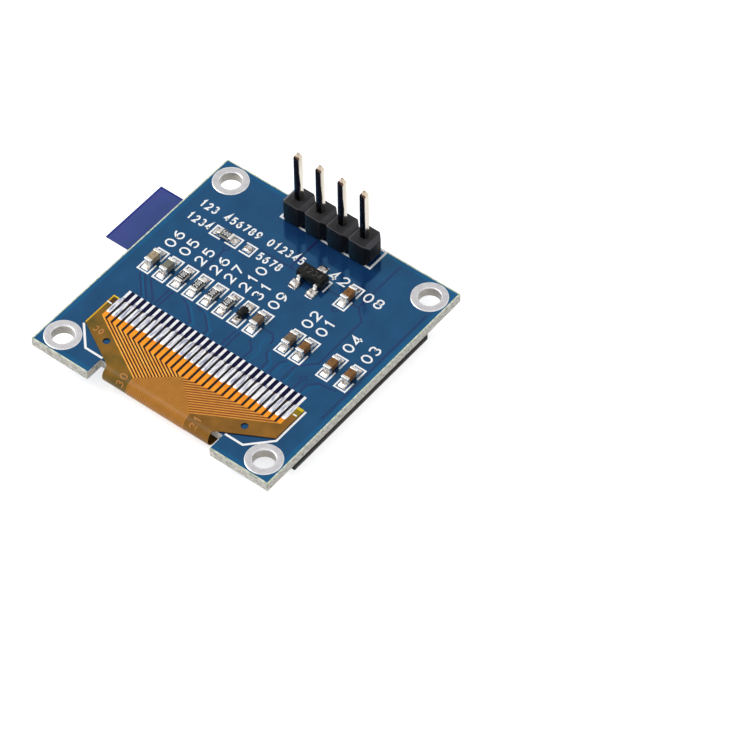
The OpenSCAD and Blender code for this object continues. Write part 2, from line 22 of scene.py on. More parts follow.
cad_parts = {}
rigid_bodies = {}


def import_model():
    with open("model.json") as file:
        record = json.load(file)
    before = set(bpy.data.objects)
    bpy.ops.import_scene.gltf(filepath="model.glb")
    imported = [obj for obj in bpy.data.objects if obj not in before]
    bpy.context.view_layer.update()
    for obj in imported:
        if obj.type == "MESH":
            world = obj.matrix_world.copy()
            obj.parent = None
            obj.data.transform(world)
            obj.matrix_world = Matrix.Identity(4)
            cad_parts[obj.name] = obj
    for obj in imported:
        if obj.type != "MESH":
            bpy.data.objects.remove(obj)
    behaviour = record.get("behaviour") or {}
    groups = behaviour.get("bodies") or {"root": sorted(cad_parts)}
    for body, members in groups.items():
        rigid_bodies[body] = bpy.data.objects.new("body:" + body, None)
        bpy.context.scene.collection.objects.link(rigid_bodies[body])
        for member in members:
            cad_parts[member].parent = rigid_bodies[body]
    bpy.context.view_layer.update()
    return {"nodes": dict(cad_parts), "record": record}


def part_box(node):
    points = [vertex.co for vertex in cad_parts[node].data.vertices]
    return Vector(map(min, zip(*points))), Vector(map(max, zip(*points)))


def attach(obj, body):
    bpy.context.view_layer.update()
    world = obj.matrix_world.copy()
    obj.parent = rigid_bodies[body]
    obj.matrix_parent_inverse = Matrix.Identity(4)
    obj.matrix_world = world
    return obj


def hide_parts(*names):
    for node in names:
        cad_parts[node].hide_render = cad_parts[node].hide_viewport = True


for leftover in list(bpy.data.objects):
    bpy.data.objects.remove(leftover)
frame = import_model()

LOG = logging.getLogger("display_module")
MM = 0.001
# A side on which a region has no end
FAR = math.inf
# The module has no moving parts, so all its pieces ride on one body
BODY = "root"
CAPACITORS, RESISTORS = 8, 5
# Faces that meet at a steeper angle than this keep a sharp edge between them
SMOOTH_BELOW = math.radians(35)
# A rounded corner takes at most this share of a rectangle's half side
LARGEST_CORNER = 0.98
# Height of a solder pad's face over the board's
PAD_TOP = 0.045 * MM
# From the middle of the selector's resistor to that of its spare pads
SPARE_PITCH = 2.57 * MM

Colour = tuple[float, float, float, float]
Pair = tuple[float, float]
Point = tuple[float, float, float]
Faces = list[list[int]]
# The points of a mesh and its faces, as point numbers
Shape = tuple[np.ndarray, Faces]
Piece = bpy.types.Object
Tree = bpy.types.NodeTree
Socket = bpy.types.NodeSocket
Inputs = dict[int | str, object]
Sizes = dict[str, float]


# ---------------------------------------------------------------- small tools


def linear(code: str) -> Colour:
    """Turns an sRGB hex colour into the linear values that shaders take.

    Args:
        code: the colour, as # and six digits.

    Returns:
        Red, green, blue and an alpha of 1, by the standard's own curve.
    """
    parts = [int(code[i : i + 2], 16) / 255 for i in (1, 3, 5)]
    flat = [c / 12.92 if c <= 0.04045 else ((c + 0.055) / 1.055) ** 2.4 for c in parts]
    return (*flat, 1.0)


def add_node(
    tree: Tree,
    kind: str,
    inputs: dict[int | str, object] | None = None,
    stops: Sequence[tuple[float, str]] = (),
    **settings: object,
) -> bpy.types.Node:
    """Adds one node with its settings and links.

    Args:
        tree: the node tree that gets it.
        kind: the node's type, without the leading "ShaderNode".
        inputs: a socket to link, or a value, for each named or numbered input.
        stops: places and sRGB colours of a colour ramp, from low to high.
        settings: the node's own settings.

    Returns:
        The new node.
    """
    node = tree.nodes.new("ShaderNode" + kind)
    for key, value in settings.items():
        setattr(node, key, value)
    for key, value in (inputs or {}).items():
        if isinstance(value, Socket):
            tree.links.new(value, node.inputs[key])
        else:
            node.inputs[key].default_value = value
    for number, (place, code) in enumerate(stops):
        if number >= 2:
            node.color_ramp.elements.new(place)
        node.color_ramp.elements[number].position = place
        node.color_ramp.elements[number].color = linear(code)
    return node


def emptied_tree(owner: bpy.types.Material | bpy.types.World) -> Tree:
    """Turns on the nodes of a material or world and clears them.

    Args:
        owner: the material or world.

    Returns:
        Its empty node tree.
    """
    owner.use_nodes = True
    owner.node_tree.nodes.clear()
    return owner.node_tree


@dataclass(frozen=True)
class Box:
    """A CAD node's box, from its lowest to its highest corner."""

    low: np.ndarray
    high: np.ndarray

    @classmethod
    def of(cls, node: str) -> "Box":
        """Reads the box of a CAD node."""
        low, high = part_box(node)
        return cls(np.array(low), np.array(high))

    @property
    def size(self) -> np.ndarray:
        """Lengths along the three axes."""
        return self.high - self.low

    @property
    def centre(self) -> np.ndarray:
        """The middle of the box."""
        return (self.low + self.high) / 2


def spare_pads() -> np.ndarray:
    """Middle of the selector's two spare pads, beside its resistor."""
    return Box.of("resistor_5_ends").centre[:2] + (SPARE_PITCH, 0)


# ---------------------------------------------------------------- shapes


def grid_faces(rows: int, columns: int, wrap: bool = False) -> np.ndarray:
    """Joins neighbouring points of a grid into four-sided faces.

    Args:
        rows: number of rows of points.
        columns: number of points in a row.
        wrap: whether a row's last point joins its first.

    Returns:
        Face corners as an array of n x 4 point numbers.
    """
    row, column = np.meshgrid(np.arange(rows - 1), np.arange(columns - (not wrap)), indexing="ij")
    beside = (column + 1) % columns
    corners = [row * columns + column, row * columns + beside]
    corners += [corners[1] + columns, corners[0] + columns]
    return np.stack(corners, -1).reshape(-1, 4)


def closed_tubes(points: np.ndarray) -> Shape:
    """Closes stacks of rings into solids with a flat face at each end.

    Args:
        points: array of solids x rings x points round a ring x 3.

    Returns:
        The points in one list and the faces.
    """
    solids, rings, around, _ = points.shape
    shift = (np.arange(solids) * rings * around)[:, None, None]
    walls = grid_faces(rings, around, wrap=True) + shift
    ends = np.stack([np.arange(around), np.arange(around) + (rings - 1) * around]) + shift
    faces = walls.reshape(-1, 4).tolist() + ends.reshape(-1, around).tolist()
    return points.reshape(-1, 3), faces


def rounded_rings(
    half_u: np.ndarray, half_v: np.ndarray, radius: np.ndarray, steps: int = 3
) -> np.ndarray:
    """Rounded rectangles, one for each entry of the arrays.

    Each corner is a quarter circle: centre plus radius times (cosine, sine) of an angle that
    runs through 90 degrees.

    Args:
        half_u: half widths.
        half_v: half heights.
        radius: corner radii, cut down to what the rectangle allows.
        steps: straight steps in a corner.

    Returns:
        Array of rings x points x 2.
    """
    largest = np.minimum(half_u, half_v) * LARGEST_CORNER
    radius = np.minimum(radius, largest)[:, None, None]
    turn = np.linspace(0, math.pi / 2, steps + 1)[None, :] + np.arange(4)[:, None] * math.pi / 2
    sign_u, sign_v = np.array([1, -1, -1, 1]), np.array([1, 1, -1, -1])
    u = (half_u[:, None, None] - radius) * sign_u[:, None] + radius * np.cos(turn)
    v = (half_v[:, None, None] - radius) * sign_v[:, None] + radius * np.sin(turn)
    return np.stack([u, v], -1).reshape(len(half_u), -1, 2)


def rounded_block(
    low: Sequence[float], high: Sequence[float], radius: float, axis: int = 1, steps: int = 3
) -> Shape:
    """A box whose edges and corners are all rounded.

    Rings are stacked along one axis. Near each end the ring shrinks by
    radius x (1 - sine) while its place nears the end by radius x cosine.

    Args:
        low: lowest corner.
        high: highest corner.
        radius: rounding radius.
        axis: the axis that the rings are stacked along.
        steps: straight steps in a quarter turn.

    Returns:
        The points and the faces.
    """
    low, high = np.asarray(low, float), np.asarray(high, float)
    centre, half = (low + high) / 2, (high - low) / 2
    turn = np.linspace(0, math.pi / 2, steps + 1)
    shrink = radius * (1 - np.sin(turn))
    along = half[axis] - radius + radius * np.cos(turn)
    shrink, along = np.r_[shrink, shrink[::-1]], np.r_[-along, along[::-1]]
    first, second = [i for i in range(3) if i != axis]
    corner = np.maximum(radius - shrink, radius / 4)
    flat = rounded_rings(half[first] - shrink, half[second] - shrink, corner, steps)
    points = np.zeros((1, len(along), flat.shape[1], 3))
    points[0, :, :, first] = flat[:, :, 0] + centre[first]
    points[0, :, :, second] = flat[:, :, 1] + centre[second]
    points[0, :, :, axis] = along[:, None] + centre[axis]
    return closed_tubes(points)


def lathe(profile: Sequence[Pair], centre: Sequence[float], steps: int = 64) -> Shape:
    """Turns a closed profile of (radius, height) points about an upright axis.

    Args:
        profile: the closed section, whose last point joins its first.
        centre: (x, y) of the axis.
        steps: points round the axis.

    Returns:
        The points and the faces.
    """
    section = np.array(profile, float)
    turn = np.linspace(0, 2 * math.pi, steps, endpoint=False)[:, None]
    radius, height = section[:, 0], np.broadcast_to(section[:, 1], (steps, len(section)))
    x, y = centre[0] + radius * np.cos(turn), centre[1] + radius * np.sin(turn)
    points = np.stack([x, y, height], -1)
    faces = grid_faces(steps + 1, len(section), wrap=True) % (steps * len(section))
    return points.reshape(-1, 3), faces.tolist()


def strip_edges(
    path: np.ndarray, width: float, closed: bool = False
) -> tuple[np.ndarray, np.ndarray]:
    """The two edges of a line of even width along a path, with mitred corners.

    At a corner the edge lies on the sum of the two stretches' normals, lengthened so that the
    width stays even on both sides.

    Args:
        path: n x 2 points.
        width: width of the line.
        closed: whether the last point joins the first.

    Returns:
        Left and right edge points, each n x 2.
    """
    step = np.roll(path, -1, 0) - path if closed else np.diff(path, axis=0)
    step /= np.linalg.norm(step, axis=1)[:, None]
    normal = np.stack([-step[:, 1], step[:, 0]], -1)
    before = np.roll(normal, 1, 0) if closed else np.vstack([normal[:1], normal])
    after = normal if closed else np.vstack([normal, normal[-1:]])
    mitre = before + after
    mitre *= 2 / np.sum(mitre * mitre, axis=1)[:, None]
    return path + mitre * width / 2, path - mitre * width / 2


def line_solid(
    path: Sequence[Pair], width: float, base: float, height: float, closed: bool = False
) -> Shape:
    """A raised line: a strip with eased upper edges that follows a path.

    Args:
        path: points of the line's middle, in metres.
        width: width at the foot.
        base: height of the face that it lies on.
        height: how far it stands up.
        closed: whether the path closes on itself.

    Returns:
        The points and the faces.
    """
    path = np.array(path, float)
    ease = min(width / 4, height)
    levels = [(width, base), (width, base + height * 0.5), (width - ease, base + height)]
    sides = [(strip_edges(path, w, closed), z) for w, z in levels]
    loop = [(edges[0], z) for edges, z in sides] + [(edges[1], z) for edges, z in reversed(sides)]
    rings = np.stack([np.column_stack([edge, np.full(len(edge), z)]) for edge, z in loop], 1)
    if closed:
        faces = grid_faces(len(path) + 1, len(loop), wrap=True) % (len(path) * len(loop))
        return rings.reshape(-1, 3), faces.tolist()
    return closed_tubes(rings[None])


def merged(parts: Sequence[Shape]) -> Shape:
    """Puts several sets of points and faces into one.

    Args:
        parts: the sets.

    Returns:
        All their points and faces.
    """
    start = np.cumsum([0] + [len(points) for points, _ in parts])
    faces = [[corner + s for corner in face] for (_, fs), s in zip(parts, start) for face in fs]
    return np.vstack([points for points, _ in parts]), faces


# ---------------------------------------------------------------- pieces


def finish_mesh(mesh: bpy.types.Mesh) -> None:
    """Turns faces outwards and shades them smooth, except across sharp edges.

    Args:
        mesh: the mesh, which is changed.
    """
    work = bmesh.new()
    work.from_mesh(mesh)
    bmesh.ops.recalc_face_normals(work, faces=work.faces)
    work.to_mesh(mesh)
    work.free()
    mesh.polygons.foreach_set("use_smooth", np.ones(len(mesh.polygons), bool))
    mesh.set_sharp_from_angle(angle=SMOOTH_BELOW)


def new_mesh(name: str, shape: Shape) -> bpy.types.Mesh:
    """Makes a mesh from points and faces, with its faces outwards.

    Args:
        name: the mesh's name.
        shape: its points and faces.

    Returns:
        The new mesh.
    """
    mesh = bpy.data.meshes.new(name)
    mesh.from_pydata(np.asarray(shape[0]).tolist(), [], shape[1])
    finish_mesh(mesh)
    return mesh


def dress(mesh: bpy.types.Mesh, finish: "Finish") -> None:
    """Makes a finish the mesh's only material."""
    mesh.materials.clear()
    mesh.materials.append(finish.material())


def put_in_scene(name: str, data: bpy.types.ID) -> Piece:
    """Makes an object and links it to the scene.

    Args:
        name: the object's name.
        data: its mesh, lamp or camera.

    Returns:
        The new object.
    """
    thing = bpy.data.objects.new(name, data)
    bpy.context.scene.collection.objects.link(thing)
    return thing


def add_piece(
    name: str,
    shape: Shape | bpy.types.Mesh,
    finish: "Finish",
    stands_for: Sequence[str] = (),
) -> Piece:
    """Makes a piece that rides on the module's body.

    Args:
        name: the piece's name.
        shape: its points and faces, or its finished mesh.
        finish: what it is made of.
        stands_for: CAD nodes that it takes the place of.

    Returns:
        The new object.
    """
    mesh = shape if isinstance(shape, bpy.types.Mesh) else new_mesh(name, shape)
    dress(mesh, finish)
    piece = put_in_scene(name, mesh)
    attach(piece, BODY)
    if stands_for:
        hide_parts(*stands_for)
    return piece


def eased_copy(node: str, name: str, finish: "Finish", width: float) -> Piece:
    """Copies a CAD node and rounds its edges, as moulding or cutting leaves them.

    Doubled points are merged and flat faces joined first, so that only real edges are rounded.

    Args:
        node: the CAD node, which the copy takes the place of.
        name: the copy's name.
        finish: what it is made of.
        width: width of the rounding.

    Returns:
        The new object.
    """
    merge_below, flat_below, ease_above = 0.0002 * MM, math.radians(1), math.radians(25)
    mesh = frame["nodes"][node].data.copy()
    mesh.name = name
    work = bmesh.new()
    work.from_mesh(mesh)
    bmesh.ops.remove_doubles(work, verts=work.verts, dist=merge_below)
    bmesh.ops.dissolve_limit(work, angle_limit=flat_below, verts=work.verts, edges=work.edges)
    work.to_mesh(mesh)
    work.free()
    mesh.polygons.foreach_set("use_smooth", np.ones(len(mesh.polygons), bool))
    piece = add_piece(name, mesh, finish, [node])
    bevel = piece.modifiers.new("Eased edges", "BEVEL")
    bevel.width, bevel.segments, bevel.limit_method = width, 2, "ANGLE"
    bevel.angle_limit, bevel.harden_normals = ease_above, True
    return piece


def keep_node(node: str, finish: "Finish") -> None:
    """Leaves a CAD node's shape as it is and gives it a finish."""
    dress(frame["nodes"][node].data, finish)


# ---------------------------------------------------------------- finishes

# The Mix node's colour sockets, which share their names with its other types
MIX_A, MIX_B, MIX_RESULT = 6, 7, 2


@dataclass(frozen=True)
class Finish:
    """What a surface is made of and how that was made."""

    title: ClassVar[str] = ""

    @property
    def label(self) -> str:
        """The material's name in the file."""
        return self.title

    def material(self) -> bpy.types.Material:
        """Makes the material the first time it is asked for.

        Returns:
            The material, with its nodes.
        """
        made = bpy.data.materials.get(self.label)
        if made is None:
            made = bpy.data.materials.new(self.label)
            tree = emptied_tree(made)
            shader = add_node(tree, "BsdfPrincipled", self.surface(tree))
            add_node(tree, "OutputMaterial", {"Surface": shader.outputs[0]})
        return made

    def surface(self, tree: Tree) -> Inputs:
        """Works out the inputs of the finish's shader.

        Args:
            tree: the material's node tree.

        Returns:
            The values and links of its shader.
        """
        raise NotImplementedError


@dataclass(frozen=True)
class MadeFinish(Finish):
    """A finish of which there are several makes, each a material of its own in two tones."""

    made: str
    dark: str
    light: str

    @property
    def label(self) -> str:
        """One material for each make."""
        return self.made


def speckle(
    tree: Tree, grain: float, stretch: Sequence[float] = (1, 1, 1), detail: float = 3.0
) -> Socket:
    """Cloudy noise that is fixed to the piece.

    Args:
        tree: the material's node tree.
        grain: size of a speck, in metres.
        stretch: how many times longer a speck is along each axis.
        detail: how many finer layers are added.

    Returns:
        The noise's value, from 0 to 1.
    """
    place = add_node(tree, "TexCoord")
    scale = tuple(1 / (grain * s) for s in stretch)
    spread = add_node(tree, "Mapping", {"Vector": place.outputs["Object"], "Scale": scale})
    pattern = {"Vector": spread.outputs[0], "Scale": 1.0, "Detail": detail}
    return add_node(tree, "TexNoise", pattern).outputs[0]


def inside(tree: Tree, low: Sequence[float], high: Sequence[float]) -> Socket:
    """1 within a box in the piece's own space and 0 outside it.

    Args:
        tree: the material's node tree.
        low: the box's lowest corner.
        high: the box's highest corner.

    Returns:
        The value, as the product of one comparison for each axis.
    """
    place = add_node(tree, "SeparateXYZ", {0: add_node(tree, "TexCoord").outputs["Object"]})
    shares = []
    for axis, (least, most) in enumerate(zip(low, high)):
        if math.isinf(least) or math.isinf(most):
            continue
        reach = {0: place.outputs[axis], 1: (least + most) / 2, 2: (most - least) / 2}
        shares.append(add_node(tree, "Math", reach, operation="COMPARE").outputs[0])
    return overlap(tree, shares)


def within(tree: Tree, low: Sequence[float], high: Sequence[float], inset: float = 0) -> Socket:
    """1 at least an inset inside an upright outline, at any height, and 0 outside it."""
    corner = (high[0] - inset, high[1] - inset, FAR)
    return inside(tree, (low[0] + inset, low[1] + inset, -FAR), corner)


def between(tree: Tree, low: float, high: float) -> Socket:
    """1 between two heights in the piece's own space, and 0 elsewhere."""
    return inside(tree, (-FAR, -FAR, low), (FAR, FAR, high))


def overlap(tree: Tree, shares: Sequence[Socket]) -> Socket:
    """1 where all the shares are 1.

    Args:
        tree: the material's node tree.
        shares: values from 0 to 1.

    Returns:
        Their product.
    """
    product = shares[0]
    for share in shares[1:]:
        product = add_node(tree, "Math", {0: product, 1: share}, operation="MULTIPLY").outputs[0]
    return product


def painted(tree: Tree, ground: Socket, layers: Sequence[tuple[Socket, Socket | Colour]]) -> Socket:
    """Lays colours over one another.

    Args:
        tree: the material's node tree.
        ground: the lowest colour.
        layers: for each later one, how much of it shows and its colour.

    Returns:
        The colour that results.
    """
    for share, over in layers:
        both = {"Factor": share, MIX_A: ground, MIX_B: over}
        ground = add_node(tree, "Mix", both, data_type="RGBA").outputs[MIX_RESULT]
    return ground


# The mask's thick resin bends light more than epoxy does, and tints what it mirrors
MASK_GLOSS: Inputs = {
    "IOR": 1.65,
    "Specular IOR Level": 1.0,
    "Specular Tint": (0.15, 0.6, 1.0, 1.0),
}


@dataclass(frozen=True)
class SolderMask(Finish):
    """Blue epoxy solder mask, curtain coated over glass-fibre laminate.

    It gives the eye a glossy, slightly wavy blue skin, lighter where the copper under it
    ends, with a pale rim whose whitest flecks are painted highlights, and pale fibrous
    edges where the board was cut from its panel.
    """

    title: ClassVar[str] = "blue solder mask on glass-fibre laminate"
    low: Point
    high: Point
    rim: float = 0.14 * MM
    border: float = 0.6 * MM
    skin: float = 0.04 * MM
    cloud: float = 2.5 * MM
    # Cut glass bundles are about 0.4 mm wide and 0.1 mm high at the board's edge
    fibre: float = 0.16 * MM
    fibre_stretch: Point = (2.5, 2.5, 0.7)
    wave: float = 1.2 * MM
    wave_height: float = 0.006 * MM

    def surface(self, tree: Tree) -> Inputs:
        """Rim, border and copper pour on the faces, and laminate between them.

        Args:
            tree: the material's node tree.

        Returns:
            The values and links of its shader.
        """
        cloud = speckle(tree, self.cloud)
        fibre = speckle(tree, self.fibre, self.fibre_stretch, detail=4)
        tones = [
            # The rim's near-white flecks are painted highlights
            (fibre, [(0.36, "#A9B79A"), (0.46, "#D2D4AE"), (0.62, "#EFEDD2")]),
            (cloud, [(0.3, "#063F6C"), (0.7, "#0A4E7C")]),
            (cloud, [(0.3, "#112E5A"), (0.7, "#173F6C")]),
            (fibre, [(0.3, "#7C7264"), (0.4, "#C0B6A4"), (0.52, "#E2DACB"), (0.68, "#FBF4E8")]),
        ]
        rim, border, pour, core = [
            add_node(tree, "ValToRGB", {0: noise}, stops=stops).outputs[0] for noise, stops in tones
        ]
        laminate = between(tree, self.low[2] + self.skin, self.high[2] - self.skin)
        layers = [
            (within(tree, self.low, self.high, self.rim), border),
            (within(tree, self.low, self.high, self.border), pour),
            (laminate, core),
        ]
        rough = add_node(tree, "MapRange", {"Value": laminate, "To Min": 0.1, "To Max": 0.85})
        relief = {"Height": speckle(tree, self.wave), "Distance": self.wave_height}
        wave = add_node(tree, "Bump", relief)
        return {
            "Base Color": painted(tree, rim, layers),
            "Roughness": rough.outputs[0],
            "Normal": wave.outputs[0],
            **MASK_GLOSS,
        }


class LineTone(Enum):
    """How a line under the solder mask looks beside the copper round it."""

    GAP = ("#1A0E48", "#221654")
    TRACK = ("#084470", "#0A4C7A")


@dataclass(frozen=True)
class MaskedLine(Finish):
    """Solder mask where it runs over a track, or sinks into the gap beside it.

    It gives the eye the gloss of the mask round it, in a slightly different blue.
    """

    tone: LineTone

    @property
    def label(self) -> str:
        """One material for each tone."""
        return f"blue solder mask over a {self.tone.name.lower()}"

    def surface(self, tree: Tree) -> Inputs:
        """A cloudy blue with the mask's gloss.

        Args:
            tree: the material's node tree.

        Returns:
            The values and links of its shader.
        """
        dark, light = self.tone.value
        cloud = speckle(tree, 1.2 * MM)
        colour = add_node(tree, "ValToRGB", {0: cloud}, stops=[(0.3, dark), (0.7, light)])
        return {"Base Color": colour.outputs[0], "Roughness": 0.12, **MASK_GLOSS}


@dataclass(frozen=True)
class BareMetal(MadeFinish):
    """A metal coat: its two tones, how smooth it is and how uneven its surface.

    Tin levelled by hot air gives a soft pale sheen, reflowed solder a bright wet one, and
    drawn and plated pins a clean mirror. Grain is the size of its cloudy patches.
    """

    smooth: float
    rough: float
    grain: float
    unevenness: float
    stretch: Point = (1, 1, 1)
    metallic: float = 1.0
    patches: tuple[tuple[Point, Point, str], ...] = ()

    def surface(self, tree: Tree) -> Inputs:
        """Metal whose colour and roughness follow one noise, and its relief a finer one.

        Each patch is a box within which the metal has another colour.

        Args:
            tree: the material's node tree.

        Returns:
            The values and links of its shader.
        """
        cloud = speckle(tree, self.grain, self.stretch)
        colour = add_node(
            tree, "ValToRGB", {0: cloud}, stops=[(0.36, self.dark), (0.58, self.light)]
        )
        layers = [(inside(tree, low, high), linear(code)) for low, high, code in self.patches]
        span = {"From Min": 0.3, "From Max": 0.7, "To Min": self.rough, "To Max": self.smooth}
        rough = add_node(tree, "MapRange", {"Value": cloud, **span})
        lumps = speckle(tree, self.grain / 2, self.stretch)
        bump = add_node(tree, "Bump", {"Height": lumps, "Distance": self.unevenness})
        return {
            "Base Color": painted(tree, colour.outputs[0], layers),
            "Metallic": self.metallic,
            "Roughness": rough.outputs[0],
            "Normal": bump.outputs[0],
        }


LEVELLED_TIN = BareMetal(
    "tin levelled by hot air", "#D6D4D7", "#EBE9EB",
    smooth=0.2, rough=0.3, grain=0.6 * MM, unevenness=0.003 * MM,
)
CONTACT_TIN = BareMetal(
    "tin on a contact", "#E9E8EA", "#FFFFFF",
    smooth=0.3, rough=0.45, grain=0.3 * MM, unevenness=0.004 * MM, metallic=0.5,
)
DRAWN_SOLDER = BareMetal(
    "solder drawn along a contact", "#8B90AC", "#FDFDFF",
    smooth=0.25, rough=0.4, grain=0.13 * MM, unevenness=0.02 * MM, stretch=(1, 9, 1), metallic=0.7,
)
REFLOWED_SOLDER = BareMetal(
    "reflowed solder", "#8E7E70", "#DEDBD8",
    smooth=0.08, rough=0.22, grain=0.3 * MM, unevenness=0.03 * MM,
)
PLATED_PIN = BareMetal(
    "tin plate on drawn brass", "#B4ADA2", "#C8C2B8",
    smooth=0.08, rough=0.16, grain=0.6 * MM, unevenness=0.001 * MM, stretch=(1, 1, 8),
)
LEAD_FRAME = BareMetal(
    "tinned lead frame", "#C9C6C0", "#F0EEEA",
    smooth=0.22, rough=0.36, grain=0.2 * MM, unevenness=0.006 * MM,
)
CHIP_END = BareMetal(
    "tin over fired silver", "#CFCAC2", "#FAF9F6",
    smooth=0.2, rough=0.34, grain=0.14 * MM, unevenness=0.006 * MM,
)


@dataclass(frozen=True)
class BlackPlastic(MadeFinish):
    """Black glass-filled plastic or epoxy, moulded against a spark-eroded tool.

    It gives the eye a near-black with a soft grey sheen and a fine even grain. Where given,
    the tops that face up get a painted grey sheen, and the sloped rims round them a lighter
    painted highlight.
    """

    roughness: float
    grain: float
    painted_sheen: tuple[str, ...] = ()
    # The grain's height as a share of its width
    relief: float = 0.12

    # How far up the rims and the tops face, where their painted highlight and sheen start and where
    # they are full
    FACING: ClassVar[tuple[Pair, ...]] = ((0.25, 0.5), (0.8, 0.96))

    def surface(self, tree: Tree) -> Inputs:
        """Two near-blacks and a grain drawn about twice as coarse as it is, so that it shows.

        The painted colours lie where the surface turns up: a painted highlight on the rims first,
        then a painted sheen on the tops.

        Args:
            tree: the material's node tree.

        Returns:
            The values and links of its shader.
        """
        cloud = speckle(tree, self.grain * 4)
        colour = add_node(
            tree, "ValToRGB", {0: cloud}, stops=[(0.35, self.dark), (0.7, self.light)]
        )
        facing = add_node(tree, "SeparateXYZ", {0: add_node(tree, "TexCoord").outputs["Normal"]})
        layers = []
        # Painted highlight and sheen, lighter where the surface faces up
        for code, (start, end) in zip(self.painted_sheen, self.FACING):
            span = {"Value": facing.outputs[2], "From Min": start, "From Max": end}
            layers.append((add_node(tree, "MapRange", span).outputs[0], linear(code)))
        bumps = {"Height": speckle(tree, self.grain), "Distance": self.grain * self.relief}
        grain = add_node(tree, "Bump", bumps)
        return {
            "Base Color": painted(tree, colour.outputs[0], layers),
            "Roughness": self.roughness,
            "Specular IOR Level": 0.16,
            "Normal": grain.outputs[0],
        }


# Its rims get a painted highlight and its tops a painted sheen
HEADER_NYLON = BlackPlastic(
    "moulded black nylon", "#08080B", "#111115",
    roughness=0.5, grain=0.09 * MM, painted_sheen=("#4E4E52", "#2C2C2E"),
)
CHIP_EPOXY = BlackPlastic(
    "moulded black epoxy", "#0D0D0D", "#191918", roughness=0.42, grain=0.07 * MM
)


class CeramicTone(Enum):
    """Fired colours of the capacitors, as dark and light stops."""

    TAN = ("#8A7A5E", "#B5A383")
    GREY = ("#605F51", "#7D7C6E")
    BROWN = ("#5C4A35", "#7B644A")
    ORANGE = ("#5E3A0D", "#8C5B16")


@dataclass(frozen=True)
class SinteredCeramic(Finish):
    """Barium titanate ceramic, pressed and fired.

    It gives the eye a dense, faintly mottled and slightly waxy body.
    """

    tone: CeramicTone

    @property
    def label(self) -> str:
        """One material for each tone."""
        return f"fired {self.tone.name.lower()} ceramic"

    def surface(self, tree: Tree) -> Inputs:
        """Mottled body with a waxy gloss.

        Args:
            tree: the material's node tree.

        Returns:
            The values and links of its shader.
        """
        dark, light = self.tone.value
        mottle = speckle(tree, 0.22 * MM)
        colour = add_node(tree, "ValToRGB", {0: mottle}, stops=[(0.32, dark), (0.68, light)])
        bump = add_node(tree, "Bump", {"Height": mottle, "Distance": 0.006 * MM})
        return {"Base Color": colour.outputs[0], "Roughness": 0.36, "Normal": bump.outputs[0]}


@dataclass(frozen=True)
class GlazedAlumina(Finish):
    """A white alumina slab with a black glaze fired over its resistive film.

    It gives the eye a glossy black top and chalky pale sides.
    """

    title: ClassVar[str] = "black glaze on alumina"
    glaze_z: float

    def surface(self, tree: Tree) -> Inputs:
        """Glaze above a height, alumina below it.

        Args:
            tree: the material's node tree.

        Returns:
            The values and links of its shader.
        """
        fired = speckle(tree, 0.12 * MM)
        slab = add_node(tree, "ValToRGB", {0: fired}, stops=[(0.3, "#B0A89E"), (0.7, "#DDD7CB")])
        glaze = add_node(tree, "ValToRGB", {0: fired}, stops=[(0.3, "#121213"), (0.7, "#262628")])
        top = between(tree, self.glaze_z, self.glaze_z + 1 * MM)
        colour = painted(tree, slab.outputs[0], [(top, glaze.outputs[0])])
        rough = add_node(tree, "MapRange", {"Value": top, "To Min": 0.7, "To Max": 0.26})
        return {"Base Color": colour, "Roughness": rough.outputs[0]}


@dataclass(frozen=True)
class FanLayout:
    """Where the cable's copper changes direction, as straight lines y = foot + slope x |x|.

    Above the first line the copper runs straight as fingers. Between the two it slants
    towards the middle, and under the second it runs straight again as a tight bundle. The
    outermost slant follows the third line.
    """

    finger: Pair
    bundle: Pair
    outer: Pair
    fingers_x: float
    bundle_x: float
    upper_face: float = 0.5 * MM
    change_x: Pair = (-0.2 * MM, 0.6 * MM)

    def over(self, tree: Tree, line: Pair) -> Socket:
        """1 for points of the sheet's upper run that lie above one of the lines.

        Args:
            tree: the material's node tree.
            line: the line's foot and slope.

        Returns:
            The value, 0 or 1.
        """
        place = add_node(tree, "SeparateXYZ", {0: add_node(tree, "TexCoord").outputs["Object"]})
        beside = add_node(tree, "Math", {0: place.outputs["X"]}, operation="ABSOLUTE").outputs[0]
        level = {0: beside, 1: line[1], 2: line[0]}
        height = add_node(tree, "Math", level, operation="MULTIPLY_ADD").outputs[0]
        compared = {0: place.outputs["Y"], 1: height}
        above = add_node(tree, "Math", compared, operation="GREATER_THAN").outputs[0]
        return overlap(tree, [above, between(tree, -self.upper_face, self.upper_face)])

    def rightwards(self, tree: Tree) -> Socket:
        """0 on the left slants, 1 on the right ones, which lie flatter and catch less light.

        Args:
            tree: the material's node tree.

        Returns:
            The value, with a short run from one to the other.
        """
        place = add_node(tree, "SeparateXYZ", {0: add_node(tree, "TexCoord").outputs["Object"]})
        start, end = self.change_x
        span = {"Value": place.outputs["X"], "From Min": start, "From Max": end}
        return add_node(tree, "MapRange", span).outputs[0]


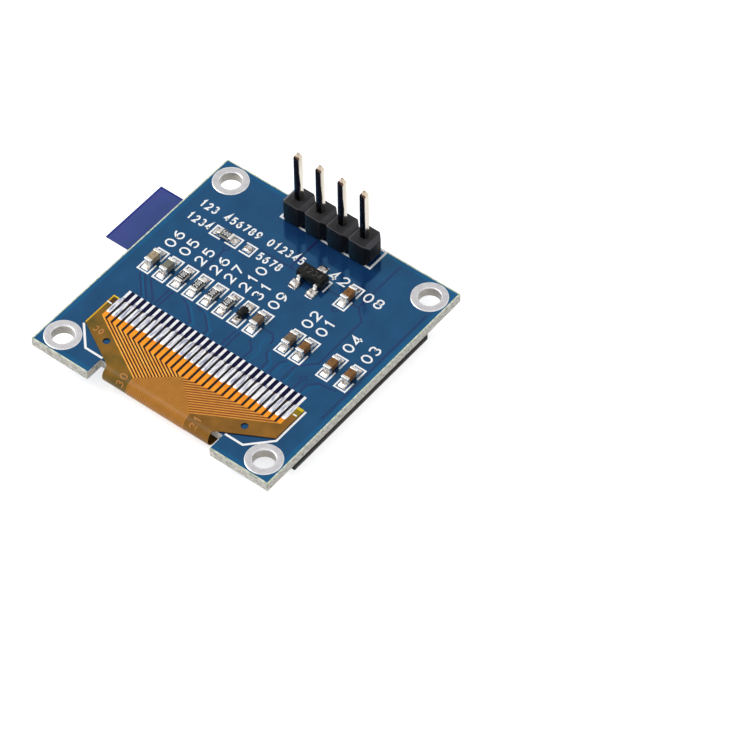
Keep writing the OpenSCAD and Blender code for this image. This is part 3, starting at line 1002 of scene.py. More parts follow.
@dataclass(frozen=True)
class Polyimide(Finish):
    """Amber polyimide film, cast and rolled, glued over the copper.

    It gives the eye an olive amber where the board shows through, a warm brown over the
    copper bundle, a painted near-black shade between the fingers and a bright yellow painted
    glow of light through the cut corner.
    """

    title: ClassVar[str] = "cast polyimide film"
    layout: FanLayout
    edge_x: float
    top_y: float
    tick_y: float
    shoulder_y: float
    rim: float = 0.15 * MM

    def surface(self, tree: Tree) -> Inputs:
        """A cloudy amber, darkened between the copper, with painted shade between the fingers and
        painted light at the rim.

        Args:
            tree: the material's node tree.

        Returns:
            The values and links of its shader.
        """
        layout = self.layout
        cloud, right = speckle(tree, 1.6 * MM), layout.rightwards(tree)
        tones = [
            (cloud, [(0.28, "#5A4A10"), (0.5, "#7A5A12"), (0.72, "#8C6114")]),
            (right, [(0, "#501A04"), (1, "#8C4A12")]),
            (cloud, [(0.3, "#7A5210"), (0.7, "#96651A")]),
        ]
        margin, fan_gap, brown = [
            add_node(tree, "ValToRGB", {0: noise}, stops=stops).outputs[0] for noise, stops in tones
        ]
        x, edge, top = layout.fingers_x, self.edge_x, self.top_y
        bundle = within(tree, (-layout.bundle_x, -FAR), (layout.bundle_x, FAR))
        columns = within(tree, (-x, -FAR), (x, FAR))
        fan = [layout.over(tree, line) for line in (layout.outer, layout.bundle)]
        finger = layout.over(tree, layout.finger)
        layers = [
            (right, brown),
            (bundle, linear("#AE701E")),
            (overlap(tree, [columns, *fan]), fan_gap),
            # Painted shade: near black between the fingers
            (overlap(tree, [columns, finger]), linear("#0C0304")),
        ]
        boxes = [
            ((-edge, self.tick_y), (-x, top), "#4A2F06"),
            ((x, self.tick_y - self.rim), (edge, top), "#8A7408"),
            # Painted light: bright yellow where light shines through the film's cut edge, left and
            # top
            ((-edge, self.shoulder_y), (self.rim - edge, top), "#D9A80C"),
            ((-edge, top - self.rim), (-x, top), "#E8C80C"),
            ((x, top - self.rim * 2), (edge, top), "#D8BC10"),
        ]
        layers += [(within(tree, low, high), linear(code)) for low, high, code in boxes]
        wave = add_node(tree, "Bump", {"Height": speckle(tree, 1.3 * MM), "Distance": 0.02 * MM})
        return {
            "Base Color": painted(tree, margin, layers),
            "Roughness": 0.42,
            "Normal": wave.outputs[0],
            "Specular IOR Level": 0.22,
        }


@dataclass(frozen=True)
class CoveredCopper(Finish):
    """Etched copper under a thin amber cover layer.

    It gives the eye a saturated orange with a soft metallic glow, which dulls to brown where
    the lines run tightly side by side.
    """

    title: ClassVar[str] = "etched copper under amber cover film"
    layout: FanLayout

    def surface(self, tree: Tree) -> Inputs:
        """Bright fingers, slants that differ from left to right, and a brown bundle.

        Args:
            tree: the material's node tree.

        Returns:
            The values and links of its shader.
        """
        cloud = speckle(tree, 0.8 * MM)
        tones = [
            [(0.3, "#AE7018"), (0.7, "#BE7E22")],
            [(0.3, "#F4A02C"), (0.7, "#FFC04E")],
            [(0.3, "#CA8632"), (0.7, "#E09A3C")],
            [(0.3, "#F48E0C"), (0.7, "#FFA41A")],
        ]
        bundle, left, right, finger = [
            add_node(tree, "ValToRGB", {0: cloud}, stops=stops).outputs[0] for stops in tones
        ]
        fanned = self.layout.over(tree, self.layout.bundle)
        layers = [
            (fanned, left),
            (overlap(tree, [fanned, self.layout.rightwards(tree)]), right),
            (self.layout.over(tree, self.layout.finger), finger),
        ]
        metal = add_node(tree, "Math", {0: fanned, 1: 0.35}, operation="MULTIPLY")
        return {
            "Base Color": painted(tree, bundle, layers),
            "Metallic": metal.outputs[0],
            "Roughness": 0.42,
            "Specular IOR Level": 0.4,
        }


@dataclass(frozen=True)
class PlainSurface(MadeFinish):
    """A plain surface in two close tones, such as glass, film, tape, ink or silicon."""

    roughness: float
    specular: float = 0.5
    grain: float = 1.5 * MM
    stretch: Point = (1, 1, 1)
    light_from: float = 0.7

    def surface(self, tree: Tree) -> Inputs:
        """The dark tone where a cloudy noise is low and the light one where it is high.

        Args:
            tree: the material's node tree.

        Returns:
            The values and links of its shader.
        """
        cloud = speckle(tree, self.grain, self.stretch)
        stops = [(0.3, self.dark), (self.light_from, self.light)]
        colour = add_node(tree, "ValToRGB", {0: cloud}, stops=stops)
        return {
            "Base Color": colour.outputs[0],
            "Roughness": self.roughness,
            "Specular IOR Level": self.specular,
        }


# Epoxy ink pressed through a screen: a matt white with thin patches
LEGEND_INK = PlainSurface(
    "white screen-printed legend ink", "#EDEFF2", "#FFFFFE",
    roughness=0.6, grain=0.15 * MM, light_from=0.55,
)
# Woven glass in epoxy without mask: a navy, as the blue shines through from below, darkened to a
# painted shade beside the cable's end
BARE_LAMINATE = PlainSurface(
    "bare laminate between contacts", "#03052A", "#070A38",
    roughness=0.6, specular=0.1, grain=0.3 * MM, stretch=(1, 2, 1),
)
# Drawn and cut glass with a black backing: a soft black without depth
PANEL_GLASS = PlainSurface(
    "black-backed display glass", "#030303", "#060607", roughness=0.4, specular=0.12
)
POLARIZER = PlainSurface("laminated polarizing sheet", "#07070A", "#0D0D12", roughness=0.3)
FOAM_TAPE = PlainSurface("double-sided foam tape", "#D5D0C2", "#E9E5DA", roughness=0.75)
# Sawn and polished: a grey near-mirror
SILICON = PlainSurface("polished silicon die", "#3B3E46", "#50545E", roughness=0.18, grain=0.3 * MM)
# Etched copper that the amber cover film dulls
CABLE_INK = PlainSurface(
    "copper numbers under cover film", "#B07236", "#C88C4C", roughness=0.5, specular=0.2
)
# A burnt line: matt, and a little paler than the epoxy
LASER_MARK = PlainSurface("laser mark in epoxy", "#3E3E3B", "#4C4C49", roughness=0.6, specular=0.2)


@dataclass(frozen=True)
class PullFilm(Finish):
    """Blue-violet polyethylene film, blown and laid over the display.

    It gives the eye a soft gloss, deeper where it lies on the dark panel and along its cut
    edges.
    """

    title: ClassVar[str] = "blown blue protective film"
    film_low: Pair
    film_high: Pair
    panel_low: Pair
    panel_high: Pair
    edge: float = 0.22 * MM
    screen_inset: float = 1.9 * MM

    def surface(self, tree: Tree) -> Inputs:
        """A deep rim, the tab's violet, the panel's deeper blue and the screen's deepest.

        Args:
            tree: the material's node tree.

        Returns:
            The values and links of its shader.
        """
        cloud = speckle(tree, 3 * MM, (1, 3, 1))
        rim = add_node(tree, "ValToRGB", {0: cloud}, stops=[(0.3, "#10247A"), (0.7, "#142C84")])
        tints = [(0.3, "#2A437E"), (0.5, "#36488A"), (0.7, "#443F8A")]
        tab = add_node(tree, "ValToRGB", {0: cloud}, stops=tints)
        inset, edge = self.screen_inset, self.edge
        film, panel = (self.film_low, self.film_high), (self.panel_low, self.panel_high)
        layers = [
            (within(tree, *film, edge), tab.outputs[0]),
            (within(tree, *panel, edge), linear("#141C4C")),
            (within(tree, *panel, inset), linear("#0C1030")),
        ]
        relief = {"Height": speckle(tree, 2.2 * MM, (1, 2, 1)), "Distance": 0.02 * MM}
        ripple = add_node(tree, "Bump", relief)
        return {
            "Base Color": painted(tree, rim.outputs[0], layers),
            "Roughness": 0.3,
            "Specular IOR Level": 0.3,
            "Normal": ripple.outputs[0],
        }


# ---------------------------------------------------------------- the module


def arc(centre: Pair, radii: Pair, start: float, stop: float) -> list[Pair]:
    """Points along part of an ellipse, one every 20 degrees or so.

    Args:
        centre: the ellipse's middle.
        radii: its half width and half height.
        start: first angle in degrees, anticlockwise from the right.
        stop: last angle in degrees.

    Returns:
        The points in order.
    """
    steps = max(3, round(abs(stop - start) / 20))
    turn = np.radians(np.linspace(start, stop, steps + 1))
    x, y = centre[0] + radii[0] * np.cos(turn), centre[1] + radii[1] * np.sin(turn)
    return list(zip(x, y))


# Strokes of each digit in a unit square
SIX = arc((0.95, 0.34), (0.93, 0.66), 95, 175) + arc((0.5, 0.31), (0.48, 0.31), 180, 530)
DIGITS: dict[str, list[list[Pair]]] = {
    "0": [arc((0.5, 0.5), (0.5, 0.5), 90, 445)],
    "1": [[(0.2, 0.78), (0.55, 1), (0.55, 0)]],
    "2": [arc((0.5, 0.7), (0.46, 0.3), 165, -35) + [(0.02, 0.02), (1, 0.02)]],
    "3": [arc((0.46, 0.76), (0.42, 0.24), 155, -85), arc((0.46, 0.27), (0.5, 0.27), 85, -155)],
    "4": [[(0.72, 0), (0.72, 1), (0, 0.28), (1, 0.28)]],
    "5": [[(0.92, 1), (0.14, 1), (0.08, 0.57)] + arc((0.46, 0.33), (0.5, 0.33), 125, -150)],
    "6": [SIX],
    "7": [[(0, 1), (0.98, 1), (0.36, 0)]],
    "8": [arc((0.5, 0.76), (0.4, 0.24), 90, 445), arc((0.5, 0.26), (0.48, 0.26), 90, 445)],
    "9": [[(1 - x, 1 - y) for x, y in SIX]],
}


@dataclass(frozen=True)
class Label:
    """A plain number drawn in strokes of one width, as board makers plot it.

    Its middle is in millimetres and its sizes in metres. An upright one reads upwards.
    """

    text: str
    x: float
    y: float
    upright: bool = False
    height: float = 1.16 * MM
    pitch: float = 1.2 * MM
    stroke: float = 0.17 * MM
    glyph_share: float = 0.76

    def solids(self, base: float, thickness: float) -> list[Shape]:
        """The strokes as thin solids.

        Args:
            base: height of the face that they lie on.
            thickness: how far they stand up.

        Returns:
            Points and faces of each stroke.
        """
        glyph = np.array([self.glyph_share * self.pitch, self.height]) - self.stroke
        shapes = []
        for place, digit in enumerate(self.text):
            shift = (place - (len(self.text) - 1) / 2) * self.pitch
            for stroke in DIGITS.get(digit, []):
                flat = (np.array(stroke) - 0.5) * glyph + (shift, 0)
                if self.upright:
                    flat = flat[:, ::-1] * (-1, 1)
                flat += np.array([self.x, self.y]) * MM
                shapes.append(line_solid(flat, self.stroke, base, thickness))
        return shapes


@dataclass
class CircuitBoard:
    """The board: solder mask, the lines under it, and the printed outlines and numbers."""

    line_width: float = 0.2 * MM
    line_height: float = 0.012 * MM
    via_height: float = 0.006 * MM
    window_under: float = 0.4 * MM
    window_sunk: float = 0.01 * MM
    window_height: float = 0.008 * MM
    ink_width: float = 0.17 * MM
    ink_height: float = 0.016 * MM
    wide_ink_width: float = 0.221 * MM
    outline_half_l: float = 1.52 * MM
    outline_half_w: float = 0.61 * MM
    outline_gap: float = 0.28 * MM
    # The corner mark beside the regulator: how far off it lies, and its two arms
    regulator_gap: Pair = (0.15 * MM, 0.12 * MM)
    regulator_mark: Pair = (0.45 * MM, 1.35 * MM)
    header_low_gap: Pair = (-0.08 * MM, 0.2 * MM)
    header_high_gap: float = 0.17 * MM
    cable_gap: float = 0.16 * MM
    # How far the line beside a shoulder slants inwards and down, then runs on level
    cable_slant: Pair = (2.05 * MM, 2.15 * MM)
    cable_foot_l: float = 2.0 * MM
    cable_foot_up: float = 2.1 * MM
    # The left line's x plus the right one's
    cable_mirror: float = 0.12 * MM
    box: Box = field(default_factory=lambda: Box.of("pcb"))

    # Middles of lines under the mask, in millimetres, by how they look
    LINES: ClassVar[dict[LineTone, list[list[Pair]]]] = {
        LineTone.GAP: [
            [(7.35, 13.05), (7.35, 7.0), (8.62, 5.75), (8.62, -0.4), (7.15, -1.9), (7.15, -4.05)],
            [(-0.62, 11.0), (-0.62, 6.95), (-0.05, 6.95)],
            [(-4.1, 6.95), (-0.9, 6.95)],
            [(3.75, 6.95), (5.1, 6.95)],
            [(6.65, 6.95), (7.2, 6.95)],
            [(-6.68, 4.85), (-6.68, 1.75)],
            [(12.8, 10.0), (12.8, -5.2)],
            [(-11.05, -1.9), (-9.1, -4.0)],
            [(-10.45, -1.9), (-8.5, -4.0)],
            [(-9.75, -1.9), (-7.95, -3.75), (-7.95, -4.05)],
            [(-7.55, -1.9), (-7.55, -4.05)],
            [(-7.1, -1.9), (-7.1, -4.05)],
            [(-5.95, -1.95), (-5.2, -2.2), (-3.65, -3.65), (-3.65, -4.05)],
            [(-4.3, -1.95), (-3.2, -2.1), (-1.75, -3.5), (-1.75, -4.05)],
            [(0.3, -1.95), (0.3, -4.05)],
            [(0.75, -1.95), (0.75, -4.05)],
            [(2.05, -0.25), (3.15, -0.25), (3.7, -0.8), (3.7, -1.3)],
            [(1.95, -1.95), (2.85, -2.85), (2.85, -4.05)],
            [(4.1, -1.95), (4.1, -2.3), (4.85, -3.1), (4.85, -4.05)],
            [(6.15, -1.95), (5.75, -2.5), (5.75, -4.05)],
            [(8.6, -3.0), (8.6, -4.05)],
            [(11.9, -1.95), (10.9, -2.15), (10.1, -2.2), (9.3, -3.0), (9.3, -4.05)],
        ],
        LineTone.TRACK: [
            [(-10.75, -1.9), (-8.8, -4.0)],
            [(-5.35, -1.95), (-4.75, -2.2), (-3.25, -3.6), (-3.25, -4.05)],
            [(-3.5, -1.9), (-2.9, -2.05), (-1.4, -3.45), (-1.4, -4.05)],
            [(3.1, -1.0), (3.1, -1.9), (3.55, -2.45), (3.55, -4.05)],
            [(4.45, -1.95), (4.45, -2.25), (5.25, -3.05), (5.25, -4.05)],
            [(6.6, -1.95), (6.2, -2.5), (6.2, -4.05)],
            [(7.55, -2.6), (7.55, -4.05)],
            [(10.4, -2.5), (9.7, -3.2), (9.7, -4.05)],
        ],
    }
    # Middles of the covered joints between the board's two faces, in millimetres
    VIAS: ClassVar[list[Pair]] = [(-6.68, 5.2), (5.8, 5.45), (8.6, -2.6)]
    # Section of the ring over a via: radius in millimetres, and share of the ring's height
    VIA_SECTION: ClassVar[list[Pair]] = [(0.2, 0), (0.27, 1), (0.3, 1), (0.37, 0)]
    # The small labels' sizes
    SMALL: ClassVar[Sizes] = {"height": 0.98 * MM, "pitch": 0.73 * MM}
    # Middles of the printed numbers, in millimetres
    NUMBERS: ClassVar[list[Label]] = [
        Label("06", -11.13, 3.17, True),
        Label("05", -9.41, 3.17, True),
        Label("25", -7.57, 3.17, True),
        Label("26", -5.8, 3.17, True),
        Label("27", -4.11, 3.17, True),
        Label("210", -2.36, 3.77, True),
        Label("31", -0.75, 3.1, True),
        Label("09", 1.1, 3.1, True),
        Label("02", 4.9, 3.22, True),
        Label("01", 6.54, 3.22, True),
        Label("04", 9.62, 3.22, True),
        Label("03", 11.7, 3.22, True),
        Label("42", 3.84, 8.6),
        Label("08", 7.97, 8.4),
        Label("1234", -10.76, 6.3, **SMALL),
        Label("5678", -2.48, 6.3, **SMALL),
        Label("123 456789 012345", -6.03, 8.2, **SMALL),
    ]

    def build(self) -> None:
        """Dresses the board and lays the lines and the legend on it."""
        keep_node("pcb", SolderMask(tuple(self.box.low), tuple(self.box.high)))
        self.add_window()
        self.add_lines()
        self.add_vias()
        self.add_outlines()
        self.add_numbers()

    def add_window(self) -> None:
        """Lays the strip without mask between the cable's contacts."""
        contacts, cable = Box.of("flex_contacts"), Box.of("flex_cable")
        left, start, face = contacts.low[0], cable.high[1] - self.window_under, self.box.high[2]
        high = (*contacts.high[:2], face + self.window_height)
        low = (left, start, face - self.window_sunk)
        strip = rounded_block(low, high, self.window_height / 2)
        # The strip's near-black navy is partly painted shade
        add_piece("contact_window", strip, BARE_LAMINATE)

    def add_lines(self) -> None:
        """Raises the mask over each line by less than a hair."""
        base, width = self.box.high[2], self.line_width
        for level, (tone, paths) in enumerate(self.LINES.items(), 1):
            name, height = f"masked_{tone.name.lower()}s", self.line_height * (1 + level / 4)
            shapes = [line_solid(np.array(path) * MM, width, base, height) for path in paths]
            add_piece(name, merged(shapes), MaskedLine(tone))

    def add_vias(self) -> None:
        """Adds a low ring of mask over each joint between the faces."""
        foot = self.box.high[2]
        section = [(r * MM, foot + share * self.via_height) for r, share in self.VIA_SECTION]
        shapes = [lathe(section, np.array(spot) * MM, steps=20) for spot in self.VIAS]
        add_piece("masked_vias", merged(shapes), MaskedLine(LineTone.GAP))

    def outline(self, node: str) -> list[np.ndarray]:
        """The two bracket paths that frame a chip.

        Args:
            node: the chip's ends, whose longer side gives its direction.

        Returns:
            One path for each half of the frame.
        """
        chip = Box.of(node)
        centre = chip.centre[:2]
        l, w, gap = self.outline_half_l, self.outline_half_w, self.outline_gap
        half = np.array([(-w, gap), (-w, l), (w, l), (w, gap)])
        halves = [half, -half]
        if chip.size[0] > chip.size[1]:
            halves = [h[:, ::-1] * (-1, 1) for h in halves]
        return [h + centre for h in halves]

    def add_outlines(self) -> None:
        """Prints the frames of the chips, header, regulator and cable."""
        nodes = [f"capacitor_{number}_ends" for number in range(1, CAPACITORS + 1)]
        nodes += [f"resistor_{number}_ends" for number in range(1, RESISTORS + 1)]
        paths = [path for node in [*nodes, "diode_leads"] for path in self.outline(node)]
        w = self.outline_half_w
        paths.append(np.array([(-w, -w), (w, -w), (w, w), (-w, w)]) + spare_pads())
        right, top = Box.of("regulator_body").high[:2] + self.regulator_gap
        mark = [(right - self.regulator_mark[0], top), (right, top)]
        paths.append(np.array([*mark, (right, top - self.regulator_mark[1])]))
        housing = Box.of("header_housing")
        low, high = housing.low[:2] + self.header_low_gap, housing.high[:2] + self.header_high_gap
        around_header = np.array([low, (high[0], low[1]), high, (low[0], high[1])])
        base, wide = self.box.high[2], self.wide_ink_width
        shapes = [line_solid(path, self.ink_width, base, self.ink_height) for path in paths]
        shapes.append(line_solid(around_header, wide, base, self.ink_height, closed=True))
        shapes += [line_solid(path, wide, base, self.ink_height) for path in self.cable_frame()]
        add_piece("legend_outlines", merged(shapes), LEGEND_INK)

    def cable_frame(self) -> list[np.ndarray]:
        """The lines beside the cable's shoulders, which follow its edge down to its neck.

        Returns:
            The right line's path, then the left one's, which starts at the shoulder.
        """
        cable, (run, rise) = Box.of("flex_cable"), self.cable_slant
        side, foot = cable.high[0] + self.cable_gap, self.box.low[1] + self.cable_foot_up
        right = [(side, cable.high[1]), (side, foot + rise), (side - run, foot)]
        right.append((side - run - self.cable_foot_l, foot))
        left = [(self.cable_mirror - x, y) for x, y in right[1:]]
        return [np.array(path) for path in (right, left)]

    def add_numbers(self) -> None:
        """Prints the numbers beside the parts."""
        base = self.box.high[2]
        shapes = [part for label in self.NUMBERS for part in label.solids(base, self.ink_height)]
        add_piece("legend_numbers", merged(shapes), LEGEND_INK)


@dataclass
class MountingRings:
    """The four plated mounting holes, with the soft lips that levelled tin has."""

    lip: float = 0.1 * MM
    pad: float = 0.05 * MM
    bright: float = 0.06 * MM
    steps: int = 6
    count: int = 4

    def build(self) -> None:
        """Turns each ring about its hole."""
        mounts = {mount["name"]: mount for mount in frame["record"]["mounts"]}
        hole_r = mounts["mounting_holes"]["dims"]["hole_r_mm"] * MM
        board = Box.of("pcb")
        # Painted shade: the tin turns darker down in the hole
        barrel_top = board.high[2] - self.bright
        painted_barrel_shade = ((-FAR, -FAR, board.low[2]), (FAR, FAR, barrel_top), "#949089")
        finish = replace(LEVELLED_TIN, made="thin tin in a plated hole", patches=(painted_barrel_shade,))
        for number in range(1, self.count + 1):
            node = f"mounting_hole_ring_{number}"
            box = Box.of(node)
            shape = lathe(self.section(hole_r, box.size[0] / 2, box), box.centre[:2], steps=96)
            add_piece(f"levelled_ring_{number}", shape, finish, [node])

    def section(self, inner: float, outer: float, box: Box) -> list[Pair]:
        """Upper half of the ring's section, then its mirror image for the lower face.

        A quarter ellipse rounds the lip at the hole and another one the outer edge.

        Args:
            inner: the hole's radius.
            outer: the ring's outer radius.
            box: the ring's box.

        Returns:
            (radius, height) points of the closed section.
        """
        turn = np.linspace(0, math.pi / 2, self.steps)
        across, down = 1 - np.cos(turn), 1 - np.sin(turn)
        top = box.high[2]
        lip = list(zip(inner + self.lip * across, top - self.lip * down))
        rim = list(zip(outer - self.lip * down, top - self.pad * across))
        half = lip + rim + [(inner + self.pad, top - self.pad)]
        return half + [(r, 2 * box.centre[2] - z) for r, z in reversed(half)]


@dataclass
class PinHeader:
    """The straight header: housing, pins, and the solder that holds them."""

    ease: float = 0.05 * MM
    moulded_ease: float = 0.09 * MM
    hole_half: float = 0.5 * MM
    pad_half: float = 0.8 * MM
    pad: float = 0.05 * MM
    pin_half: float = 0.33 * MM
    pin_corner: float = 0.2
    skin: float = 0.02 * MM
    tip: float = 0.55 * MM
    burr: float = 0.14 * MM
    pins: int = 4

    def build(self) -> None:
        """Eases the moulded and cut edges and runs the solder up the pin tails."""
        housing, numbers = "header_housing", range(1, self.pins + 1)
        eased_copy(housing, "housing_moulding", HEADER_NYLON, self.moulded_ease)
        finish = self.pin_finish(Box.of("header_pin_1"))
        for number in numbers:
            node = f"header_pin_{number}"
            eased_copy(node, f"plated_pin_{number}", finish, self.ease)
        keep_node("header_hole_plating", LEVELLED_TIN)
        box = Box.of("header_solder")
        solids = [self.solder(Box.of(f"header_pin_{number}").centre, box) for number in numbers]
        shape = closed_tubes(np.concatenate(solids))
        add_piece("pin_solder", shape, REFLOWED_SOLDER, ["header_solder"])

    def pin_finish(self, pin: Box) -> BareMetal:
        """Tin plate with a painted shade on the two sheared sides, with brass bared at the cut
        tips.

        Args:
            pin: the box of any pin, since all stand in one row.

        Returns:
            The pins' finish.
        """
        skin, burr, front, back = self.skin, self.burr, pin.low[1], pin.high[1]
        tip, end = pin.high[2] - self.tip, pin.high[2] + self.skin
        # Painted shade: a near-black band on the front and back faces
        patches = [
            ((-FAR, side - skin, -FAR), (FAR, side + skin, FAR), "#24242E")
            for side in (front, back)
        ]
        patches.append(((-FAR, front, tip), (FAR, back, end), "#C0B2A0"))
        patches.append(((-FAR, front, tip), (FAR, front + burr, tip + 2 * burr), "#5E463C"))
        return replace(PLATED_PIN, patches=tuple(patches))

    def solder(self, pin: np.ndarray, box: Box) -> np.ndarray:
        """One joint: a plug in the hole, then a hollow cone that turns from round to square.

        The cone's half width falls from pad to pin with the square of the distance that is
        left to its tip.

        Args:
            pin: the pin's middle.
            box: the box of all the joints.

        Returns:
            Array of 1 x rings x points x 3.
        """
        face = Box.of("pcb").low[2] - self.pad
        left, corner = np.linspace(1, 0, 8), self.pin_half * self.pin_corner
        half = self.pin_half + (self.pad_half - self.pin_half) * left**2
        radius = corner + (self.pad_half - corner) * left
        half = np.r_[self.hole_half, self.hole_half, half]
        radius = np.r_[self.hole_half, self.hole_half, radius]
        height = np.r_[box.high[2], face, face + (box.low[2] - face) * (1 - left)]
        flat = rounded_rings(half, half, radius, steps=5)
        level = np.repeat(height[:, None, None], flat.shape[1], 1)
        return np.concatenate([flat + pin[:2], level], -1)[None]


@dataclass
class FlexCable:
    """The panel's flat cable: a sheet cut to outline, then wrapped round the board's notch.

    Everything on it is laid out on the flat sheet first. There, x runs across the cable, u
    is the y that a point has on the board, carried on past the bend line, and h is the
    height above the sheet's lower face. wrapped() then rolls the sheet round the bend.
    """

    sheet: float = 0.08 * MM
    copper: float = 0.02 * MM
    # From the bend line up to the shoulders' corners, and to the neck, just past it
    shoulder_l: float = 2.6 * MM
    neck_l: float = -0.15 * MM
    neck_half: float = 6.1 * MM
    fillet: float = 0.4 * MM
    # The straight length under the board, glued to the panel
    bond_l: float = 3.4 * MM
    count: int = 30
    finger_w: float = 0.45 * MM
    trace_w: float = 0.136 * MM
    trace_pitch: float = 0.225 * MM
    # The slants' rise over run, and how far over the bend the middle and outermost one end
    fan_slope: float = 0.56
    fan_top: float = 2.95 * MM
    fan_foot: float = 0.2 * MM
    # The two holes that a jig's pins locate the cable by
    locating_x: float = 8.0 * MM
    locating_up: float = 1.98 * MM
    locating_r: float = 0.36 * MM
    tick_down: float = 0.95 * MM
    # How far the covered copper stops short of the sheet's end
    bared: float = 0.12 * MM
    contact_strip: float = 0.2 * MM
    columns: int = 15
    contact_w: float = 0.27 * MM
    number_down: float = 4.05 * MM
    number_under: float = 0.6 * MM
    tick_w: float = 0.14 * MM
    tick_l: Pair = (0.55 * MM, 0.4 * MM)
    tick_in: float = 0.1 * MM
    seed: int = 7
    board: Box = field(default_factory=lambda: Box.of("flex_cable"))
    traces: Box = field(default_factory=lambda: Box.of("flex_traces"))
    contacts: Box = field(default_factory=lambda: Box.of("flex_contacts"))

    # A solder joint's section at stations along it, in millimetres: how far past the sheet's
    # end it lies, half its width, and its crest's height over the board
    JOINT: ClassVar[list[Point]] = [
        (-1.9, 0.17, 0.155),
        (-1.86, 0.215, 0.185),
        (-1.6, 0.225, 0.205),
        (-0.9, 0.225, 0.212),
        (-0.25, 0.225, 0.205),
        (-0.06, 0.205, 0.175),
        (0.06, 0.155, 0.11),
        (0.34, 0.12, 0.058),
    ]
    # How much shorter or longer a joint may be drawn than the next
    JOINT_STRETCH: ClassVar[Pair] = (0.94, 1.06)
    # How deep its foot sits in the face under it
    JOINT_SUNK: ClassVar[float] = 0.005 * MM
    # The part of the half cosine that a joint's top follows, in radians from its middle
    JOINT_BOW: ClassVar[float] = 1.35
    # The copper numbers' sizes
    SMALL: ClassVar[Sizes] = {"height": 0.66 * MM, "pitch": 0.6 * MM, "stroke": 0.12 * MM}
    LARGE: ClassVar[Sizes] = {"height": 0.85 * MM, "pitch": 0.78 * MM, "stroke": 0.14 * MM}

    @property
    def bend_r(self) -> float:
        """Radius of the copper's outer face in the bend."""
        return (self.traces.high[2] - self.traces.low[2]) / 2

    @property
    def bend_y(self) -> float:
        """Where the flat sheet ends and the bend starts."""
        return self.traces.low[1] + self.bend_r

    @property
    def contact_pitch(self) -> float:
        """Distance between contacts, from the row's length."""
        return (self.contacts.size[0] - self.contact_w) / (self.count - 1)

    def wrapped(self, x: np.ndarray, u: np.ndarray, h: np.ndarray) -> np.ndarray:
        """Rolls points of the flat sheet round the bend.

        Past the bend line, the distance along the sheet divided by the bend's radius is the
        angle turned, up to half a turn. What is left runs straight back under the board.

        Args:
            x: places across the cable.
            u: places along it.
            h: heights above the sheet's lower face.

        Returns:
            Array of the same shape with x, y and z as a last axis.
        """
        x, u, h = np.broadcast_arrays(x, u, h)
        level = self.board.high[2] - self.sheet + h
        middle = (self.traces.high[2] + self.traces.low[2]) / 2
        past = np.maximum(self.bend_y - u, 0)
        angle = np.minimum(past / self.bend_r, math.pi)
        back = past - angle * self.bend_r
        y = np.where(u > self.bend_y, u, self.bend_y - (level - middle) * np.sin(angle) + back)
        return np.stack([x, y, middle + (level - middle) * np.cos(angle)], -1)

    def run(self) -> np.ndarray:
        """Stations from the bend line round the bend to the glued end."""
        bend = np.linspace(0, math.pi, 33) * self.bend_r
        return self.bend_y - np.r_[bend, bend[-1] + np.linspace(0.2, 1, 4) * self.bond_l]

    def build(self) -> None:
        """Makes the sheet, its copper, its solder and its marks."""
        self.add_sheet()
        self.add_traces()
        self.add_joints()
        self.add_marks()
        keep_node("flex_contacts", CONTACT_TIN)

    def outline(self) -> tuple[np.ndarray, np.ndarray]:
        """Stations along the sheet, and its half width at each.

        The shoulder narrows in a straight line, and an arc tangent to it and to the neck
        fills the corner between them.

        Returns:
            Arrays of both, from the soldered end to the glued one.
        """
        full, top = self.board.high[0], self.board.high[1]
        shoulder, neck = self.bend_y + self.shoulder_l, self.bend_y + self.neck_l
        slope = math.atan2(self.shoulder_l - self.neck_l, full - self.neck_half)
        leg = self.fillet / math.tan((math.pi / 2 + slope) / 2)
        turn = np.linspace(math.pi / 2 + slope, math.pi, 7)
        arc_x = self.neck_half + self.fillet + self.fillet * np.cos(turn)
        arc_u = neck - leg + self.fillet * np.sin(turn)
        side = np.linspace(1, 0, 5)[1:-1]
        half = np.r_[full, full, full, full, arc_x[0] + (full - arc_x[0]) * side, arc_x]
        along = np.r_[top, top - self.contact_strip, (top + shoulder) / 2, shoulder]
        along = np.r_[along, arc_u[0] + (shoulder - arc_u[0]) * side, arc_u]
        run = self.run()
        run = run[run < arc_u[-1] - self.copper]
        return np.r_[along, run], np.r_[half, np.full(len(run), self.neck_half)]

    def layout(self) -> FanLayout:
        """The lines along which the copper turns, from the fan's sizes.

        Returns:
            The lines, and half the widths of the row of fingers and of the bundle.
        """
        last = (self.count - 1) / 2
        middle_turn = self.bend_y + self.fan_top
        fall = (self.fan_top - self.fan_foot) / last
        finger_rise = self.fan_slope * (self.contact_pitch - self.trace_pitch) - fall
        last_turn = self.bend_y + self.fan_foot - self.fan_slope * last * self.trace_pitch
        return FanLayout(
            finger=(middle_turn, finger_rise / self.contact_pitch),
            bundle=(middle_turn, -fall / self.trace_pitch),
            outer=(last_turn - self.trace_w / 2 * math.hypot(1, self.fan_slope), self.fan_slope),
            fingers_x=last * self.contact_pitch + self.finger_w / 2,
            bundle_x=last * self.trace_pitch + self.trace_w / 2,
        )

    def add_sheet(self) -> None:
        """Cuts the sheet, rolls it and punches its two locating holes."""
        along, half = self.outline()
        across, edges = np.linspace(-1, 1, self.columns), (along[:, None], half[:, None])
        upper = [edges[1] * across, edges[0], self.sheet]
        lower = [edges[1] * across[::-1], edges[0], 0.0]
        rings = np.concatenate([self.wrapped(*upper), self.wrapped(*lower)], 1)
        finish = Polyimide(
            layout=self.layout(),
            edge_x=self.board.high[0],
            top_y=self.board.high[1],
            tick_y=self.board.high[1] - self.tick_down,
            shoulder_y=self.bend_y + self.shoulder_l,
        )
        shape = closed_tubes(rings[None])
        self.punch(add_piece("cable_sheet", shape, finish, ["flex_cable"]))

